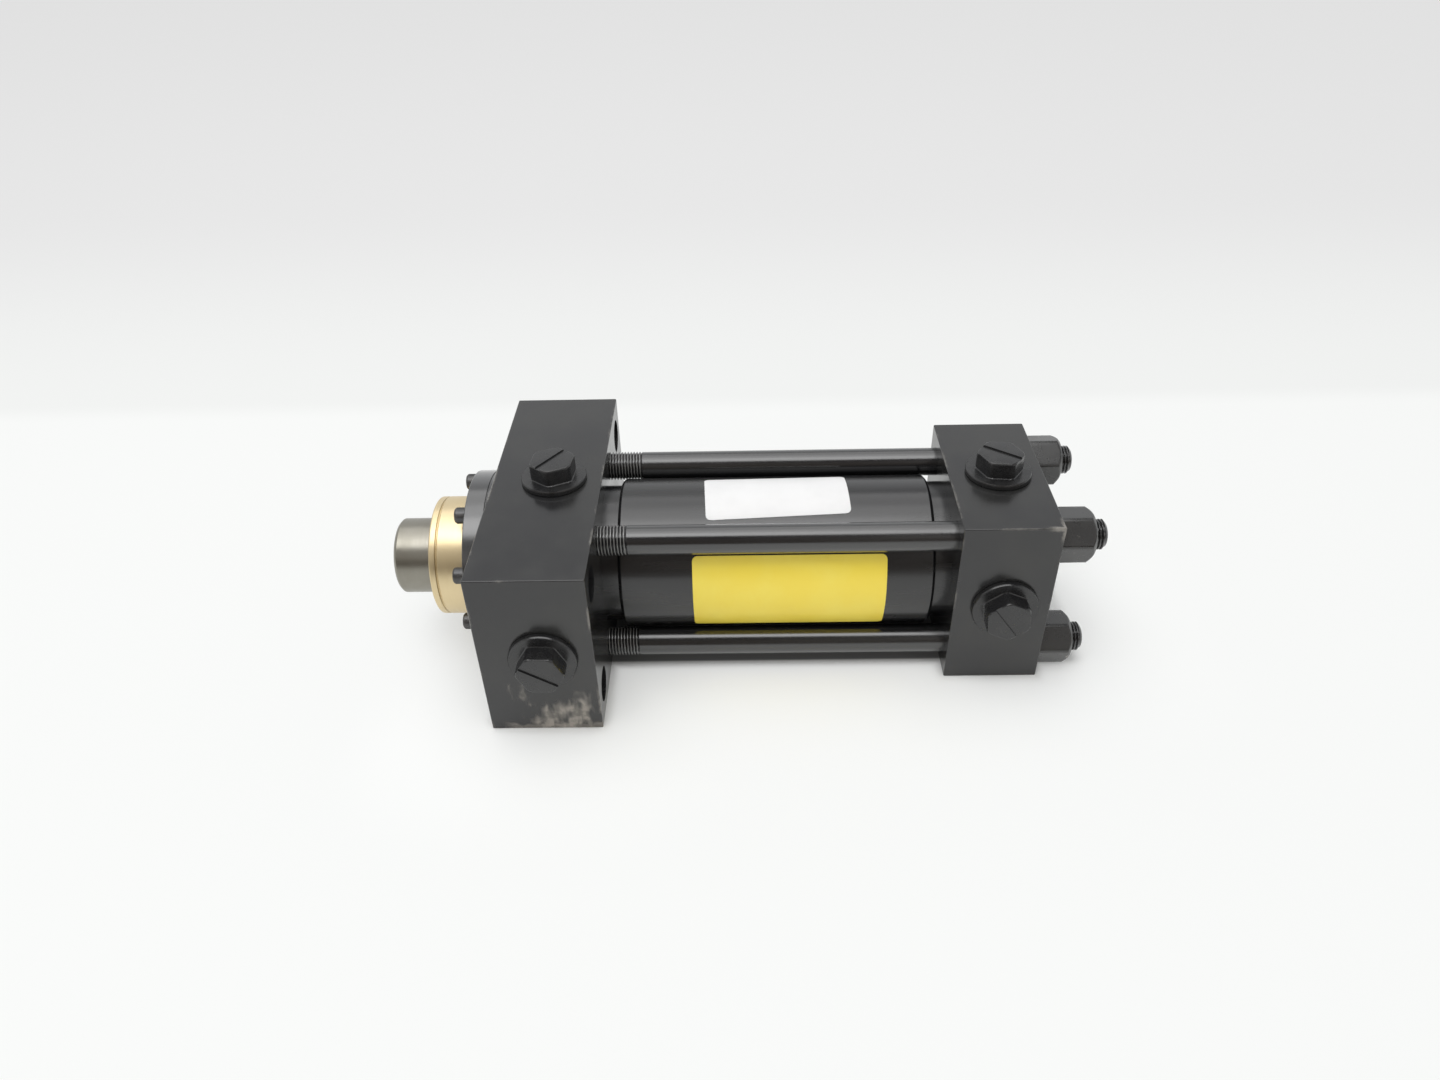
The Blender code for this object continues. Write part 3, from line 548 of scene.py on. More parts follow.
class SatinPaint(Recipe):
    """Satin black paint on a steel block, its edges bared here and there as strongly as rub says."""

    def __init__(self, name, low, high, rub):
        super().__init__(name, roughness=0.30, specular=0.7)
        self.low = low
        self.cloud = self.noise(35, detail=4)
        self.grain = self.noise(900, detail=2)
        ragged = self.math("MULTIPLY", self.grain, MM)
        self.edge = self.math("ADD", edge_distance(self, low, high), ragged)
        near = self.ramp(self.edge, *RUB_FADE, rub, 0.0)
        rubs = self.ramp(self.noise(55, detail=4), *RUB_PATCHES)
        self.worn = self.math("MULTIPLY", near, rubs)
        self.paint = self.blend(self.ramp(self.cloud, *MID_NOISE), BLACK, WARM_BLACK)

    def chip_corner(self, corner, reach, depth):
        """Bares the edges round a corner of the block."""
        away = self.length(self.vector("SUBTRACT", self.place, corner))
        ragged = self.math("MULTIPLY", self.noise(200, detail=3), reach)
        away = self.math("ADD", away, ragged)
        close = self.ramp(away, *(share * reach for share in CHIP_REACH_SHARES), 1.0, 0.0)
        bare = self.ramp(self.edge, *(share * depth for share in CHIP_DEPTH_SHARES), CHIP_STRENGTH, 0.0)
        chip = self.math("MULTIPLY", close, bare)
        self.worn = self.math("MAXIMUM", self.worn, chip)

    def scrape(self, left, right, top):
        """Bares a patch low on the front face, and a strip along the face's foot."""
        x, y, z = self.axes(self.place)
        low = self.low
        on_front = self.ramp(y, *(low.y + skin for skin in SCRAPE_SKIN), 1.0, 0.0)
        outline = self.noise(130, detail=2, stretch=(1, 1, 0.5))
        ragged = self.math("MULTIPLY", self.math("SUBTRACT", outline, 0.5), SCRAPE_RAGGED)
        rightward = self.math("ADD", x, ragged)
        leftward = self.math("SUBTRACT", x, ragged)
        upward = self.math("SUBTRACT", z, ragged)
        from_left = self.ramp(rightward, left - MM, left + SCRAPE_FADE)
        from_right = self.ramp(leftward, right - SCRAPE_FADE, right + MM, 1.0, 0.0)
        from_top = self.ramp(upward, top - SCRAPE_TOP_FADE, top + MM, 1.0, 0.0)
        patch = self.math("MULTIPLY", self.math("MULTIPLY", from_left, from_right), from_top)
        strokes = self.noise(310, detail=2, stretch=(1, 1, 0.32), roughness=0.45)
        patch = self.math("MULTIPLY", patch, self.ramp(strokes, *SCRAPE_STROKES))
        height = self.math("ADD", z, self.math("MULTIPLY", ragged, FOOT_RAGGED))
        foot = self.ramp(height, *FOOT_FADE, FOOT_STRENGTH, 0.0)
        foot_start = self.ramp(x, *(low.x + start for start in FOOT_START))
        foot = self.math("MULTIPLY", foot, foot_start)
        bare = self.math("MULTIPLY", self.math("MAXIMUM", patch, foot), on_front)
        patches = self.ramp(self.noise(240, detail=3), *PRIMER_PATCHES)
        primer = self.blend(patches, DARK_PRIMER, LIGHT_PRIMER)
        self.paint = self.blend(self.math("MULTIPLY", bare, SCRAPE_STRENGTH), self.paint, primer)

    def finish(self):
        """The material, with the wear laid over the paint."""
        self.colour(self.blend(self.worn, self.paint, WORN_EDGE))
        shine = self.ramp(self.cloud, *ALL_NOISE, *SATIN_ROUGHNESS)
        self.rough(self.math("ADD", shine, self.math("MULTIPLY", self.worn, WORN_ROUGHER)))
        self.bump(self.math("SUBTRACT", self.grain, self.worn), distance=0.02 * MM, strength=0.4)
        return self.material


def head_paint():
    """The head's paint, scraped low on the front."""
    paint = SatinPaint("head_paint", HEAD_LOW, HEAD_HIGH, rub=0.7)
    paint.scrape(left=-4 * MM, right=20 * MM, top=19 * MM)
    return paint.finish()


def cap_paint():
    """The cap's paint, chipped at the front upper corner on the nuts' side."""
    paint = SatinPaint("cap_paint", CAP_LOW, CAP_HIGH, rub=0.35)
    corner = Vector((CAP_HIGH.x, CAP_LOW.y, CAP_HIGH.z))
    paint.chip_corner(corner, reach=6 * MM, depth=1.5 * MM)
    return paint.finish()


class GlossPaint(Recipe):
    """Glossy black paint with faint streaks along the cylinder."""

    def __init__(self, name, roughness, specular=1.0, coat=0.0):
        super().__init__(name, sum(roughness) / 2, specular=specular, coat=coat)
        streaks = self.noise(130, detail=4, stretch=(0.08, 1, 1))
        self.paint = self.blend(self.ramp(streaks, *MID_NOISE), GLOSS_BLACK, GLOSS_GREY)
        self.colour(self.paint)
        self.rough(self.ramp(streaks, *ALL_NOISE, *roughness))
        self.bump(self.noise(700, detail=2), distance=0.01 * MM, strength=0.5)

    def paint_crest_highlights(self):
        """Lightens the crests of the threads behind the head as a painted highlight for their glints;
        folding lays all four rods on one.
        """
        rod = middle("tie_rod_rear_upper") - AXIS
        folded = self.vector("ABSOLUTE", self.vector("SUBTRACT", self.place, AXIS))
        across = self.vector("MULTIPLY", self.vector("SUBTRACT", folded, rod), (0, 1, 1))
        crest = self.ramp(self.length(across), TIE_SHANK_RADIUS, TIE_RADIUS)
        by_head = self.ramp(self.axes(self.place)[0], CAP_LOW.x - TIE_PITCH, CAP_LOW.x, 1.0, 0.0)
        # The crests take a lighter grey, a painted highlight
        self.colour(self.blend(self.math("MULTIPLY", crest, by_head), self.paint, CREST_PAINTED_HIGHLIGHT))


def dull_paint():
    """Thin black paint on the nuts, with a few small chips."""
    recipe = Recipe("dull_black_paint", roughness=0.34, specular=0.9)
    cloud = recipe.noise(120, detail=4)
    chips = recipe.ramp(recipe.noise(210, detail=5, roughness=0.7), *NUT_CHIPS)
    paint = recipe.blend(recipe.ramp(cloud, *MID_NOISE), GLOSS_GREY, WARM_BLACK)
    recipe.colour(recipe.blend(chips, paint, WORN_EDGE))
    recipe.rough(recipe.ramp(cloud, *ALL_NOISE, *NUT_ROUGHNESS))
    recipe.bump(recipe.noise(1400, detail=2), distance=0.015 * MM, strength=0.5)
    return recipe.material


def black_oxide():
    """Oiled black oxide on the retainer's screws and the piston's nut."""
    recipe = Recipe("black_oxide", roughness=0.4, metallic=0.85)
    dark = (0.085, 0.085, 0.087)
    light = (0.125, 0.122, 0.118)
    recipe.clouded(recipe.noise(400, detail=4), dark, light, roughness=(0.32, 0.46))
    recipe.bump(recipe.noise(2500, detail=2), distance=0.01 * MM, strength=0.4)
    return recipe.material


def turned_metal(name, dark, light, roughness, mark_scale):
    """Machined metal with fine marks round the axis."""
    recipe = Recipe(name, sum(roughness) / 2, metallic=1.0)
    marks = recipe.noise(mark_scale, detail=4, stretch=(1, 0.02, 0.02))
    cloud = recipe.noise(60, detail=4)
    recipe.colour(recipe.blend(recipe.ramp(cloud, *ALL_NOISE), dark, light))
    recipe.rough(recipe.ramp(marks, *ALL_NOISE, *roughness))
    recipe.bump(marks, distance=0.002 * MM, strength=0.4)
    return recipe.material


def moulded_plastic():
    """Black moulded plastic of the port plugs."""
    recipe = Recipe("black_plastic", roughness=0.28, specular=0.7)
    dark = (0.012, 0.012, 0.013)
    light = (0.018, 0.018, 0.018)
    recipe.clouded(recipe.noise(150, detail=3), dark, light, roughness=(0.22, 0.32))
    recipe.bump(recipe.noise(1800, detail=2), distance=0.015 * MM, strength=0.5)
    return recipe.material


def seal_rubber(name, dark, light):
    """Dull rubber or soft polymer of the seals."""
    recipe = Recipe(name, roughness=0.6)
    recipe.clouded(recipe.noise(300, detail=3), dark, light, roughness=(0.52, 0.68))
    recipe.bump(recipe.noise(1500, detail=2), distance=0.02 * MM, strength=0.5)
    return recipe.material


def plain_label(name, tint, faded):
    """A plain adhesive label, slightly uneven and rubbed."""
    recipe = Recipe(name, roughness=0.35)
    cloud = recipe.noise(55, detail=4)
    recipe.colour(recipe.blend(recipe.ramp(cloud, *FADED_PATCHES), tint, faded))
    recipe.rough(recipe.ramp(cloud, *ALL_NOISE, *LABEL_ROUGHNESS))
    recipe.bump(recipe.noise(220, detail=3), distance=0.03 * MM, strength=0.4)
    return recipe.material


# Pieces


def build_blocks():
    """The head and cap blocks with their mounting, tie-rod, screw and port holes."""
    tie = middle("tie_rod_front_upper") - AXIS
    tie_radius = TIE_RADIUS + SEAT
    head_bore = GLAND_SHOULDER_RADIUS + SEAT
    head_length = HEAD_HIGH.x - HEAD_LOW.x
    face = Vector((HEAD_LOW.x, 0, 0))
    back = Vector((HEAD_HIGH.x, 0, 0))
    head_cuts = [
        drill(head_bore, head_length + OVERSHOOT, AXIS + face, facets=LARGE_FACETS),
        drill(RETAINER_RADIUS + SEAT, RETAINER_RECESS, AXIS + face, facets=LARGE_FACETS),
    ]
    cap_face = Vector((CAP_LOW.x, 0, 0))
    cavity_end = ROD_HIGH.x + CAP_CAVITY_GAP
    cap_cuts = [drill(PISTON_HIGH.y, cavity_end - CAP_LOW.x, AXIS + cap_face)]
    mount_z = AXIS.z - HEAD_LOW.z - MOUNT_EDGE_Z
    for corner in CORNERS:
        mount = corner_place(corner, MOUNT_SPACING_Y / 2, mount_z)
        rod = corner_place(corner, abs(tie.y), abs(tie.z))
        head_cuts.append(drill(MOUNT_HOLE_RADIUS, head_length + OVERSHOOT, mount + face))
        head_cuts.append(drill(tie_radius, HEAD_HIGH.x - TIE_LOW.x, rod + back, -X_AXIS))
        cap_cuts.append(drill(tie_radius, CAP_HIGH.x - CAP_LOW.x + OVERSHOOT, rod + cap_face))
    for number in range(1, SCREW_COUNT + 1):
        screw = middle(f"retainer_screw_{number}")
        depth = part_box(f"retainer_screw_{number}")[1].x - HEAD_LOW.x
        seat = Vector((HEAD_LOW.x, screw.y, screw.z))
        head_cuts.append(drill(SCREW_RADIUS + SEAT, depth + SEAT, seat, facets=SMALL_FACETS))
    for block, cuts, high, low in (
        ("head", head_cuts, HEAD_HIGH, HEAD_LOW),
        ("cap", cap_cuts, CAP_HIGH, CAP_LOW),
    ):
        x = middle(f"{block}_top_plug").x
        cuts.append(drill(PORT_RADIUS, PORT_DEPTH, Vector((x, 0, high.z)), -UP))
        cuts.append(drill(PORT_RADIUS, PORT_DEPTH, Vector((x, low.y, AXIS.z)), -FRONT))
    head = without(rounded_block("head", HEAD_LOW, HEAD_HIGH, EDGE_RADIUS), head_cuts)
    cap = without(rounded_block("cap", CAP_LOW, CAP_HIGH, EDGE_RADIUS), cap_cuts)
    add_piece("head_detailed", head, head_paint(), "barrel", ["head"])
    add_piece("cap_detailed", cap, cap_paint(), "barrel", ["cap"])


def build_tube(paint):
    """The tube, thicker in its middle than at its two necks."""
    left = HEAD_HIGH.x + NECK_LENGTH
    right = CAP_LOW.x - NECK_LENGTH
    profile = [
        (TUBE_LOW.x, BORE_RADIUS),
        (TUBE_LOW.x, NECK_RADIUS),
        (left, NECK_RADIUS),
        (left, TUBE_RADIUS - TUBE_CHAMFER),
        (left + TUBE_CHAMFER, TUBE_RADIUS),
        (right - TUBE_CHAMFER, TUBE_RADIUS),
        (right, TUBE_RADIUS - TUBE_CHAMFER),
        (right, NECK_RADIUS),
        (TUBE_HIGH.x, NECK_RADIUS),
        (TUBE_HIGH.x, BORE_RADIUS),
    ]
    mesh = aimed(turned("tube", eased(profile, TUBE_EDGE), LARGE_FACETS), AXIS)
    add_piece("tube_detailed", mesh, paint, "barrel", ["tube"])


def threaded_run(start, end, fade_in=0.0, fade_out=0.0):
    """Stations of a tie rod's thread from start to end, running out over the fades."""
    count = max(2, round((end - start) / TIE_PITCH * RINGS_PER_PITCH))
    for step in range(count + 1):
        x = start + (end - start) * step / count
        rise = min(1, (x - start) / fade_in) if fade_in else 1
        fall = min(1, (end - x) / fade_out) if fade_out else 1
        full = rise * fall
        crest = TIE_SHANK_RADIUS + (TIE_RADIUS - TIE_SHANK_RADIUS) * full
        yield x, thread_section(x, TIE_PITCH, crest, TIE_THREAD_DEPTH * full)


def build_tie_rods(paint, nut_paint):
    """The four tie rods, their threads cut where they show, and the nuts behind the cap."""
    for corner, turn, shown in zip(CORNERS, NUT_TURNS, TIE_THREADS_SHOW):
        node = f"tie_rod_{corner}"
        nut_node = f"tie_rod_nut_{corner}"
        low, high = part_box(node)
        nut_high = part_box(nut_node)[1].x
        tip = high.x - TIE_CHAMFER
        thread_start = HEAD_HIGH.x - TIE_THREAD_HIDDEN
        thread_end = HEAD_HIGH.x + shown
        stations = [(low.x, 0), (low.x, TIE_RADIUS - TIE_CHAMFER), (low.x + TIE_CHAMFER, TIE_RADIUS)]
        stations += threaded_run(thread_start, thread_end, fade_in=TIE_PITCH, fade_out=TIE_PITCH)
        stations += [
            (thread_end + TIE_CHAMFER, TIE_SHANK_RADIUS),
            (CAP_HIGH.x - TIE_CHAMFER, TIE_SHANK_RADIUS),
            (CAP_HIGH.x, TIE_RADIUS),
        ]
        stations += threaded_run(nut_high - TIE_THREAD_HIDDEN, tip, fade_in=TIE_PITCH)
        stations += [
            (high.x - SOFT_EDGE / 2, TIE_RADIUS - TIE_CHAMFER),
            (high.x, TIE_RADIUS - TIE_CHAMFER - SOFT_EDGE),
            (high.x, 0),
        ]
        centre = middle(node)
        place = Vector((0, centre.y, centre.z))
        mesh = aimed(turned(node, stations, SMALL_FACETS), place)
        add_piece(f"{node}_detailed", mesh, paint, "barrel", [node])
        seat = Vector((CAP_HIGH.x + SEAT, 0, 0))
        nut = aimed(nut_mesh(nut_high - seat.x), place + seat, turn=turn)
        add_piece(f"{nut_node}_detailed", nut, nut_paint, "barrel", [nut_node])


def nut_mesh(thickness):
    """A hexagonal nut seated at x = 0, its outer corners turned down and its edges eased."""
    corner = NUT_ACROSS_FLATS / 2 / math.cos(SIXTH_TURN / 2) - SOFT_EDGE / 4
    hole = TIE_RADIUS + SEAT
    stations = [
        (0, hole),
        (0, hexagon(NUT_ACROSS_FLATS, corner - SOFT_EDGE)),
        (SOFT_EDGE, hexagon(NUT_ACROSS_FLATS, corner)),
    ]
    for step in range(NUT_CHAMFER_STEPS + 1):
        share = step / NUT_CHAMFER_STEPS
        limit = corner + (NUT_FACE_RADIUS - corner) * share
        stations.append((thickness - NUT_CHAMFER * (1 - share), hexagon(NUT_ACROSS_FLATS, limit)))
    stations += [(thickness, hole + SOFT_EDGE), (thickness - SOFT_EDGE, hole)]
    return turned("nut", stations, MEDIUM_FACETS)


def build_gland(bronze, polymer):
    """The bronze gland with its turned line, and the wiper in its front."""
    line = GLAND_LOW.x + GLAND_LINE_INSET
    line_end = line + GLAND_LINE_WIDTH
    line_radius = GLAND_RADIUS - GLAND_LINE_DEPTH
    shoulder_end = RETAINER_SEAT + GLAND_SHOULDER_LENGTH
    bore = ROD_RADIUS + SEAT
    recess = WIPER_RADIUS + SEAT
    profile = [
        (GLAND_LOW.x, recess),
        (GLAND_LOW.x, GLAND_RADIUS),
        (line, GLAND_RADIUS),
        (line + GLAND_LINE_WIDTH / 3, line_radius),
        (line_end - GLAND_LINE_WIDTH / 3, line_radius),
        (line_end, GLAND_RADIUS),
        (RETAINER_SEAT, GLAND_RADIUS),
        (RETAINER_SEAT, GLAND_SHOULDER_RADIUS),
        (shoulder_end, GLAND_SHOULDER_RADIUS),
        (shoulder_end, GLAND_RADIUS),
        (GLAND_HIGH.x, GLAND_RADIUS),
        (GLAND_HIGH.x, bore),
        (WIPER_HIGH.x + SEAT, bore),
        (WIPER_HIGH.x + SEAT, recess),
    ]
    mesh = aimed(turned("gland", eased(profile, GLAND_EDGE), LARGE_FACETS), AXIS)
    add_piece("rod_gland_detailed", mesh, bronze, "barrel", ["rod_gland"])
    wiper = [
        (WIPER_LOW.x, bore),
        (WIPER_LOW.x, bore + WIPER_LIP_WIDTH),
        (WIPER_LOW.x + WIPER_VALLEY_DEPTH, bore + WIPER_VALLEY_OFFSET),
        (WIPER_LOW.x + WIPER_RIM_INSET, WIPER_RADIUS),
        (WIPER_HIGH.x, WIPER_RADIUS),
        (WIPER_HIGH.x, bore + WIPER_HEEL_GAP),
    ]
    mesh = aimed(turned("wiper", eased(wiper, WIPER_EDGE), LARGE_FACETS), AXIS)
    add_piece("rod_wiper_detailed", mesh, polymer, "barrel", ["rod_wiper"])


def build_retainer(paint, oxide):
    """The ring that holds the gland, and its screws."""
    inner = GLAND_RADIUS + SEAT
    back = RETAINER_SEAT - SEAT
    line = HEAD_LOW.x - RETAINER_LINE_INSET
    line_start = line - RETAINER_LINE_WIDTH
    line_radius = RETAINER_RADIUS - RETAINER_LINE_DEPTH
    profile = [
        (RETAINER_LOW.x, inner),
        (RETAINER_LOW.x, RETAINER_RADIUS),
        (line_start, RETAINER_RADIUS),
        (line_start, line_radius),
        (line, line_radius),
        (line, RETAINER_RADIUS),
        (back, RETAINER_RADIUS),
        (back, inner),
    ]
    ring = aimed(turned("retainer", eased(profile), LARGE_FACETS), AXIS)
    holes = []
    for number in range(1, SCREW_COUNT + 1):
        node = f"retainer_screw_{number}"
        low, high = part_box(node)
        centre = (low + high) / 2
        seat = Vector((RETAINER_LOW.x, centre.y, centre.z))
        depth = back - RETAINER_LOW.x + OVERSHOOT
        holes.append(drill(SCREW_RADIUS + SEAT, depth, seat, facets=SMALL_FACETS))
        head_height = RETAINER_LOW.x - SEAT - low.x
        mesh = screw_mesh((high.z - low.z) / 2, head_height, high.x - RETAINER_LOW.x)
        aimed(mesh, seat - Vector((SEAT, 0, 0)), turn=SCREW_TURN_STEP * number)
        add_piece(f"{node}_detailed", mesh, oxide, "barrel", [node])
    ring = without(ring, holes)
    add_piece("gland_retainer_detailed", ring, paint, "barrel", ["gland_retainer"])


def screw_mesh(head_radius, head_height, length):
    """A socket-head screw whose head seats at x = 0, with a knurled side."""
    socket = hexagon(SCREW_SOCKET_ACROSS_FLATS)
    knurls = SMALL_FACETS // 2
    smooth = head_radius - SCREW_KNURL_DEPTH

    def knurled(angle):
        return head_radius - SCREW_KNURL_DEPTH * (0.5 + 0.5 * math.cos(knurls * angle))

    floor = SCREW_SOCKET_DEPTH - head_height
    stations = [
        (floor + SOFT_EDGE * 2, 0),
        (floor, socket),
        (-head_height + SOFT_EDGE / 2, socket),
        (-head_height, hexagon(SCREW_SOCKET_ACROSS_FLATS + SOFT_EDGE)),
        (-head_height, smooth - SOFT_EDGE),
        (-head_height + SOFT_EDGE, smooth),
        (-head_height + 2 * SOFT_EDGE, knurled),
        (-SOFT_EDGE, knurled),
        (0, smooth),
        (0, SCREW_RADIUS),
        (length, SCREW_RADIUS),
        (length, 0),
    ]
    return turned("screw", stations, SMALL_FACETS)


def build_rod(steel):
    """The piston rod with its chamfered, threaded end and the spigot that carries the piston."""
    hole_end = ROD_LOW.x + ROD_THREAD_DEPTH
    thread_start = ROD_LOW.x + ROD_THREAD_INSET
    thread_end = hole_end - ROD_THREAD_END_GAP
    crest = ROD_THREAD_RADIUS + ROD_THREAD_HEIGHT
    count = round((thread_end - thread_start) / ROD_THREAD_PITCH * RINGS_PER_PITCH)
    stations = [
        (hole_end + ROD_HOLE_CONE, 0),
        (hole_end, ROD_THREAD_RADIUS),
        (thread_end, ROD_THREAD_RADIUS),
    ]
    for step in range(1, count + 1):
        x = thread_end + (thread_start - thread_end) * step / count
        run_out = min(1, (thread_end - x) / ROD_THREAD_PITCH)
        major = ROD_THREAD_RADIUS + ROD_THREAD_HEIGHT * run_out
        stations.append((x, thread_section(x, ROD_THREAD_PITCH, major, ROD_THREAD_HEIGHT * run_out)))
    outside = [
        (ROD_LOW.x, crest + ROD_HOLE_CHAMFER),
        (ROD_LOW.x, ROD_RADIUS - ROD_CHAMFER),
        (ROD_LOW.x + ROD_CHAMFER, ROD_RADIUS),
        (PISTON_LOW.x - SEAT, ROD_RADIUS),
        (PISTON_LOW.x - SEAT, ROD_SPIGOT_RADIUS),
        (PISTON_HIGH.x, ROD_SPIGOT_RADIUS),
        (PISTON_HIGH.x, ROD_STUD_RADIUS),
        (ROD_HIGH.x, ROD_STUD_RADIUS),
        (ROD_HIGH.x, 0),
    ]
    stations += eased(outside, ROD_EDGE)
    mesh = aimed(turned("rod", stations, LARGE_FACETS), AXIS)
    add_piece("piston_rod_detailed", mesh, steel, "rod_assembly", ["piston_rod"])


def plug_mesh(flange_radius, height):
    """A port plug seated at x = 0: hollow thread, round flange and slotted hexagonal head."""
    corner = PLUG_HEX_ACROSS_FLATS / 2 / math.cos(SIXTH_TURN / 2) - PLUG_CORNER_TRIM
    hollow = PLUG_THREAD_RADIUS - PLUG_WALL
    depth = PORT_DEPTH - PLUG_TIP_GAP
    flange = PLUG_FLANGE_THICKNESS
    stations = [
        (-PLUG_WALL, 0),
        (-PLUG_WALL, hollow),
        (-depth, hollow),
        (-depth, PLUG_THREAD_RADIUS - SOFT_EDGE),
        (-depth + SOFT_EDGE, PLUG_THREAD_RADIUS),
        (SEAT, PLUG_THREAD_RADIUS),
        (SEAT, flange_radius - SOFT_EDGE),
        (SOFT_EDGE, flange_radius),
        (flange - 2 * SOFT_EDGE, flange_radius),
        (flange - SOFT_EDGE, flange_radius - 0.3 * SOFT_EDGE),
        (flange, flange_radius - SOFT_EDGE),
        (flange + SOFT_EDGE / 4, hexagon(PLUG_HEX_ACROSS_FLATS + 1.5 * SOFT_EDGE)),
        (flange + SOFT_EDGE, hexagon(PLUG_HEX_ACROSS_FLATS, corner)),
        (height - 2 * SOFT_EDGE, hexagon(PLUG_HEX_ACROSS_FLATS, corner)),
        (height - SOFT_EDGE / 2, hexagon(PLUG_HEX_ACROSS_FLATS - SOFT_EDGE, corner - SOFT_EDGE)),
        (height, hexagon(PLUG_HEX_ACROSS_FLATS - 3 * SOFT_EDGE, corner - 2 * SOFT_EDGE)),
        (height, 0),
    ]
    slot_length = 2 * flange_radius
    half = Vector((PLUG_SLOT_DEPTH, slot_length, PLUG_SLOT_WIDTH)) / 2
    centre = Vector((height, 0, 0))
    slot = rounded_block("slot", centre - Vector((PLUG_SLOT_DEPTH, half.y, half.z)), centre + half, 0)
    return without(turned("plug", stations, MEDIUM_FACETS), [slot])


def build_plugs(plastic):
    """The plugs in the top and in the front of both blocks."""
    for node, turn in PLUG_TURNS.items():
        low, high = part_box(node)
        block_low, block_high = (HEAD_LOW, HEAD_HIGH) if node.startswith("head") else (CAP_LOW, CAP_HIGH)
        centre = (low + high) / 2
        if "top" in node:
            pointing = UP
            seat = Vector((centre.x, centre.y, block_high.z))
            height = high.z - block_high.z
        else:
            pointing = FRONT
            seat = Vector((centre.x, block_low.y, centre.z))
            height = block_low.y - low.y
        mesh = aimed(plug_mesh((high.x - low.x) / 2, height), seat, pointing, turn)
        add_piece(f"{node}_detailed", mesh, plastic, "barrel", [node])


def label_mesh(name, left, right, bottom, top, tilt):
    """A label with rounded corners wrapped on the tube; bottom and top are angles from the front."""
    width = right - left
    arc = math.radians(top - bottom) * TUBE_RADIUS
    radius = TUBE_RADIUS + SEAT
    middle_angle = math.radians(top + bottom) / 2
    shape = bmesh.new()
    rows = []
    for step in range(LABEL_CORNER_STEPS):
        bend = step * math.pi / (2 * LABEL_CORNER_STEPS)
        rows.append(-arc / 2 + LABEL_CORNER * (1 - math.cos(bend)))
    straight = arc - 2 * LABEL_CORNER
    rows += [-arc / 2 + LABEL_CORNER + straight * step / LABEL_ROWS for step in range(LABEL_ROWS + 1)]
    rows += [-row for row in reversed(rows[:LABEL_CORNER_STEPS])]
    lines = []
    for v in rows:
        into_corner = max(0.0, abs(v) - arc / 2 + LABEL_CORNER)
        half = width / 2 - LABEL_CORNER + math.sqrt(max(0.0, LABEL_CORNER**2 - into_corner**2))
        line = []
        for column in range(LABEL_COLUMNS + 1):
            u = half * (2 * column / LABEL_COLUMNS - 1)
            x = (left + right) / 2 + u * math.cos(tilt) - v * math.sin(tilt)
            angle = middle_angle + (u * math.sin(tilt) + v * math.cos(tilt)) / radius
            line.append(shape.verts.new((x, -radius * math.cos(angle), radius * math.sin(angle))))
        lines.append(line)
    for here, there in zip(lines, lines[1:]):
        for column in range(LABEL_COLUMNS):
            shape.faces.new((here[column], here[column + 1], there[column + 1], there[column]))
    mesh = bpy.data.meshes.new(name)
    shape.to_mesh(mesh)
    shape.free()
    mesh.transform(Matrix.Translation(AXIS))
    return mesh


def build_labels(yellow, white):
    """A large label on the front of the tube and a small one near its top."""
    for name, material, place, tilt in (
        ("large_label", yellow, LARGE_LABEL, 0.0),
        ("small_label", white, SMALL_LABEL, SMALL_LABEL_TILT),
    ):
        mesh = label_mesh(name, *place, tilt)
        piece = add_piece(name, mesh, material, "barrel")
        solid = piece.modifiers.new("thickness", "SOLIDIFY")
        solid.thickness = LABEL_THICKNESS
        solid.offset = 1.0
        # The normals are weighted last, so the thickness moves ahead of them
        piece.modifiers.move(1, 0)


def dress_hidden_nodes(rubber, polymer, iron, oxide):
    """Materials of the pieces inside, which keep the frame's own shapes."""
    looks = {
        rubber: ("gland_o_ring", "head_tube_o_ring", "cap_tube_o_ring", "piston_o_ring"),
        polymer: ("rod_seal", "piston_seal_rod_side", "piston_seal_cap_side", "piston_wear_ring"),
        iron: ("piston",),
        oxide: ("piston_nut",),
    }
    for material, nodes in looks.items():
        for node in nodes:
            mesh = frame["nodes"][node].data
            mesh.materials.clear()
            mesh.materials.append(material)


# Stage, light and camera

FLOOR_SIZE = 6.0
FLOOR_WHITE = (0.93, 0.94, 0.93)
WALL_LOW = (0.88, 0.89, 0.88)
WALL_HIGH = (0.81, 0.81, 0.81)
WALL_START = 192 * MM
WALL_BLEND = 12 * MM
WALL_FADE = 0.55
GLOW_NEAR = 0.36
GLOW_FAR = 0.5
GLOW_NEAR_REACH = 5 * MM
GLOW_FAR_REACH = 70 * MM
CONTACT_SHADOW = 1.5 * MM
# A painted shade: the floor's colour under the tube and tie rods between the blocks
PAINTED_SHADE_UNDER_SPAN = (0.22, 0.22, 0.22)
BACKDROP = (0.86, 0.86, 0.86)
ROOM_BACK = (0.81, 0.82, 0.83)
ROOM_FRONT = (0.150, 0.125, 0.105)
ROOM_SIDES = (0.90, 0.88, 0.86)
ZENITH_SHARE = 0.05
LAMP_AIM = Vector((-0.12, 0.0, 0.04))

# The parts of a unit direction between which the room changes its tone
VIEWER_SIDE = (-0.5, 0.05)
ASIDE = (0.16, 0.28)
RAISED = (0.2, 0.55)
ZENITH = (0.45, 0.95)


def distance_from_box(recipe, low, high):
    """How far a point of the floor is from a box that stands on it."""
    centre = Vector(((low.x + high.x) / 2, (low.y + high.y) / 2, 0))
    half = Vector(((high.x - low.x) / 2, (high.y - low.y) / 2, 0))
    offset = recipe.vector("SUBTRACT", recipe.place, centre)
    outside = recipe.vector("SUBTRACT", recipe.vector("ABSOLUTE", offset), half)
    return recipe.length(recipe.vector("MAXIMUM", outside))


def span_box(left, right, margin=0.0):
    """The low and the high corner of a strip of floor under the tie rods."""
    half_width = middle("tie_rod_rear_lower").y + margin
    return Vector((left, -half_width, 0)), Vector((right, half_width, 0))


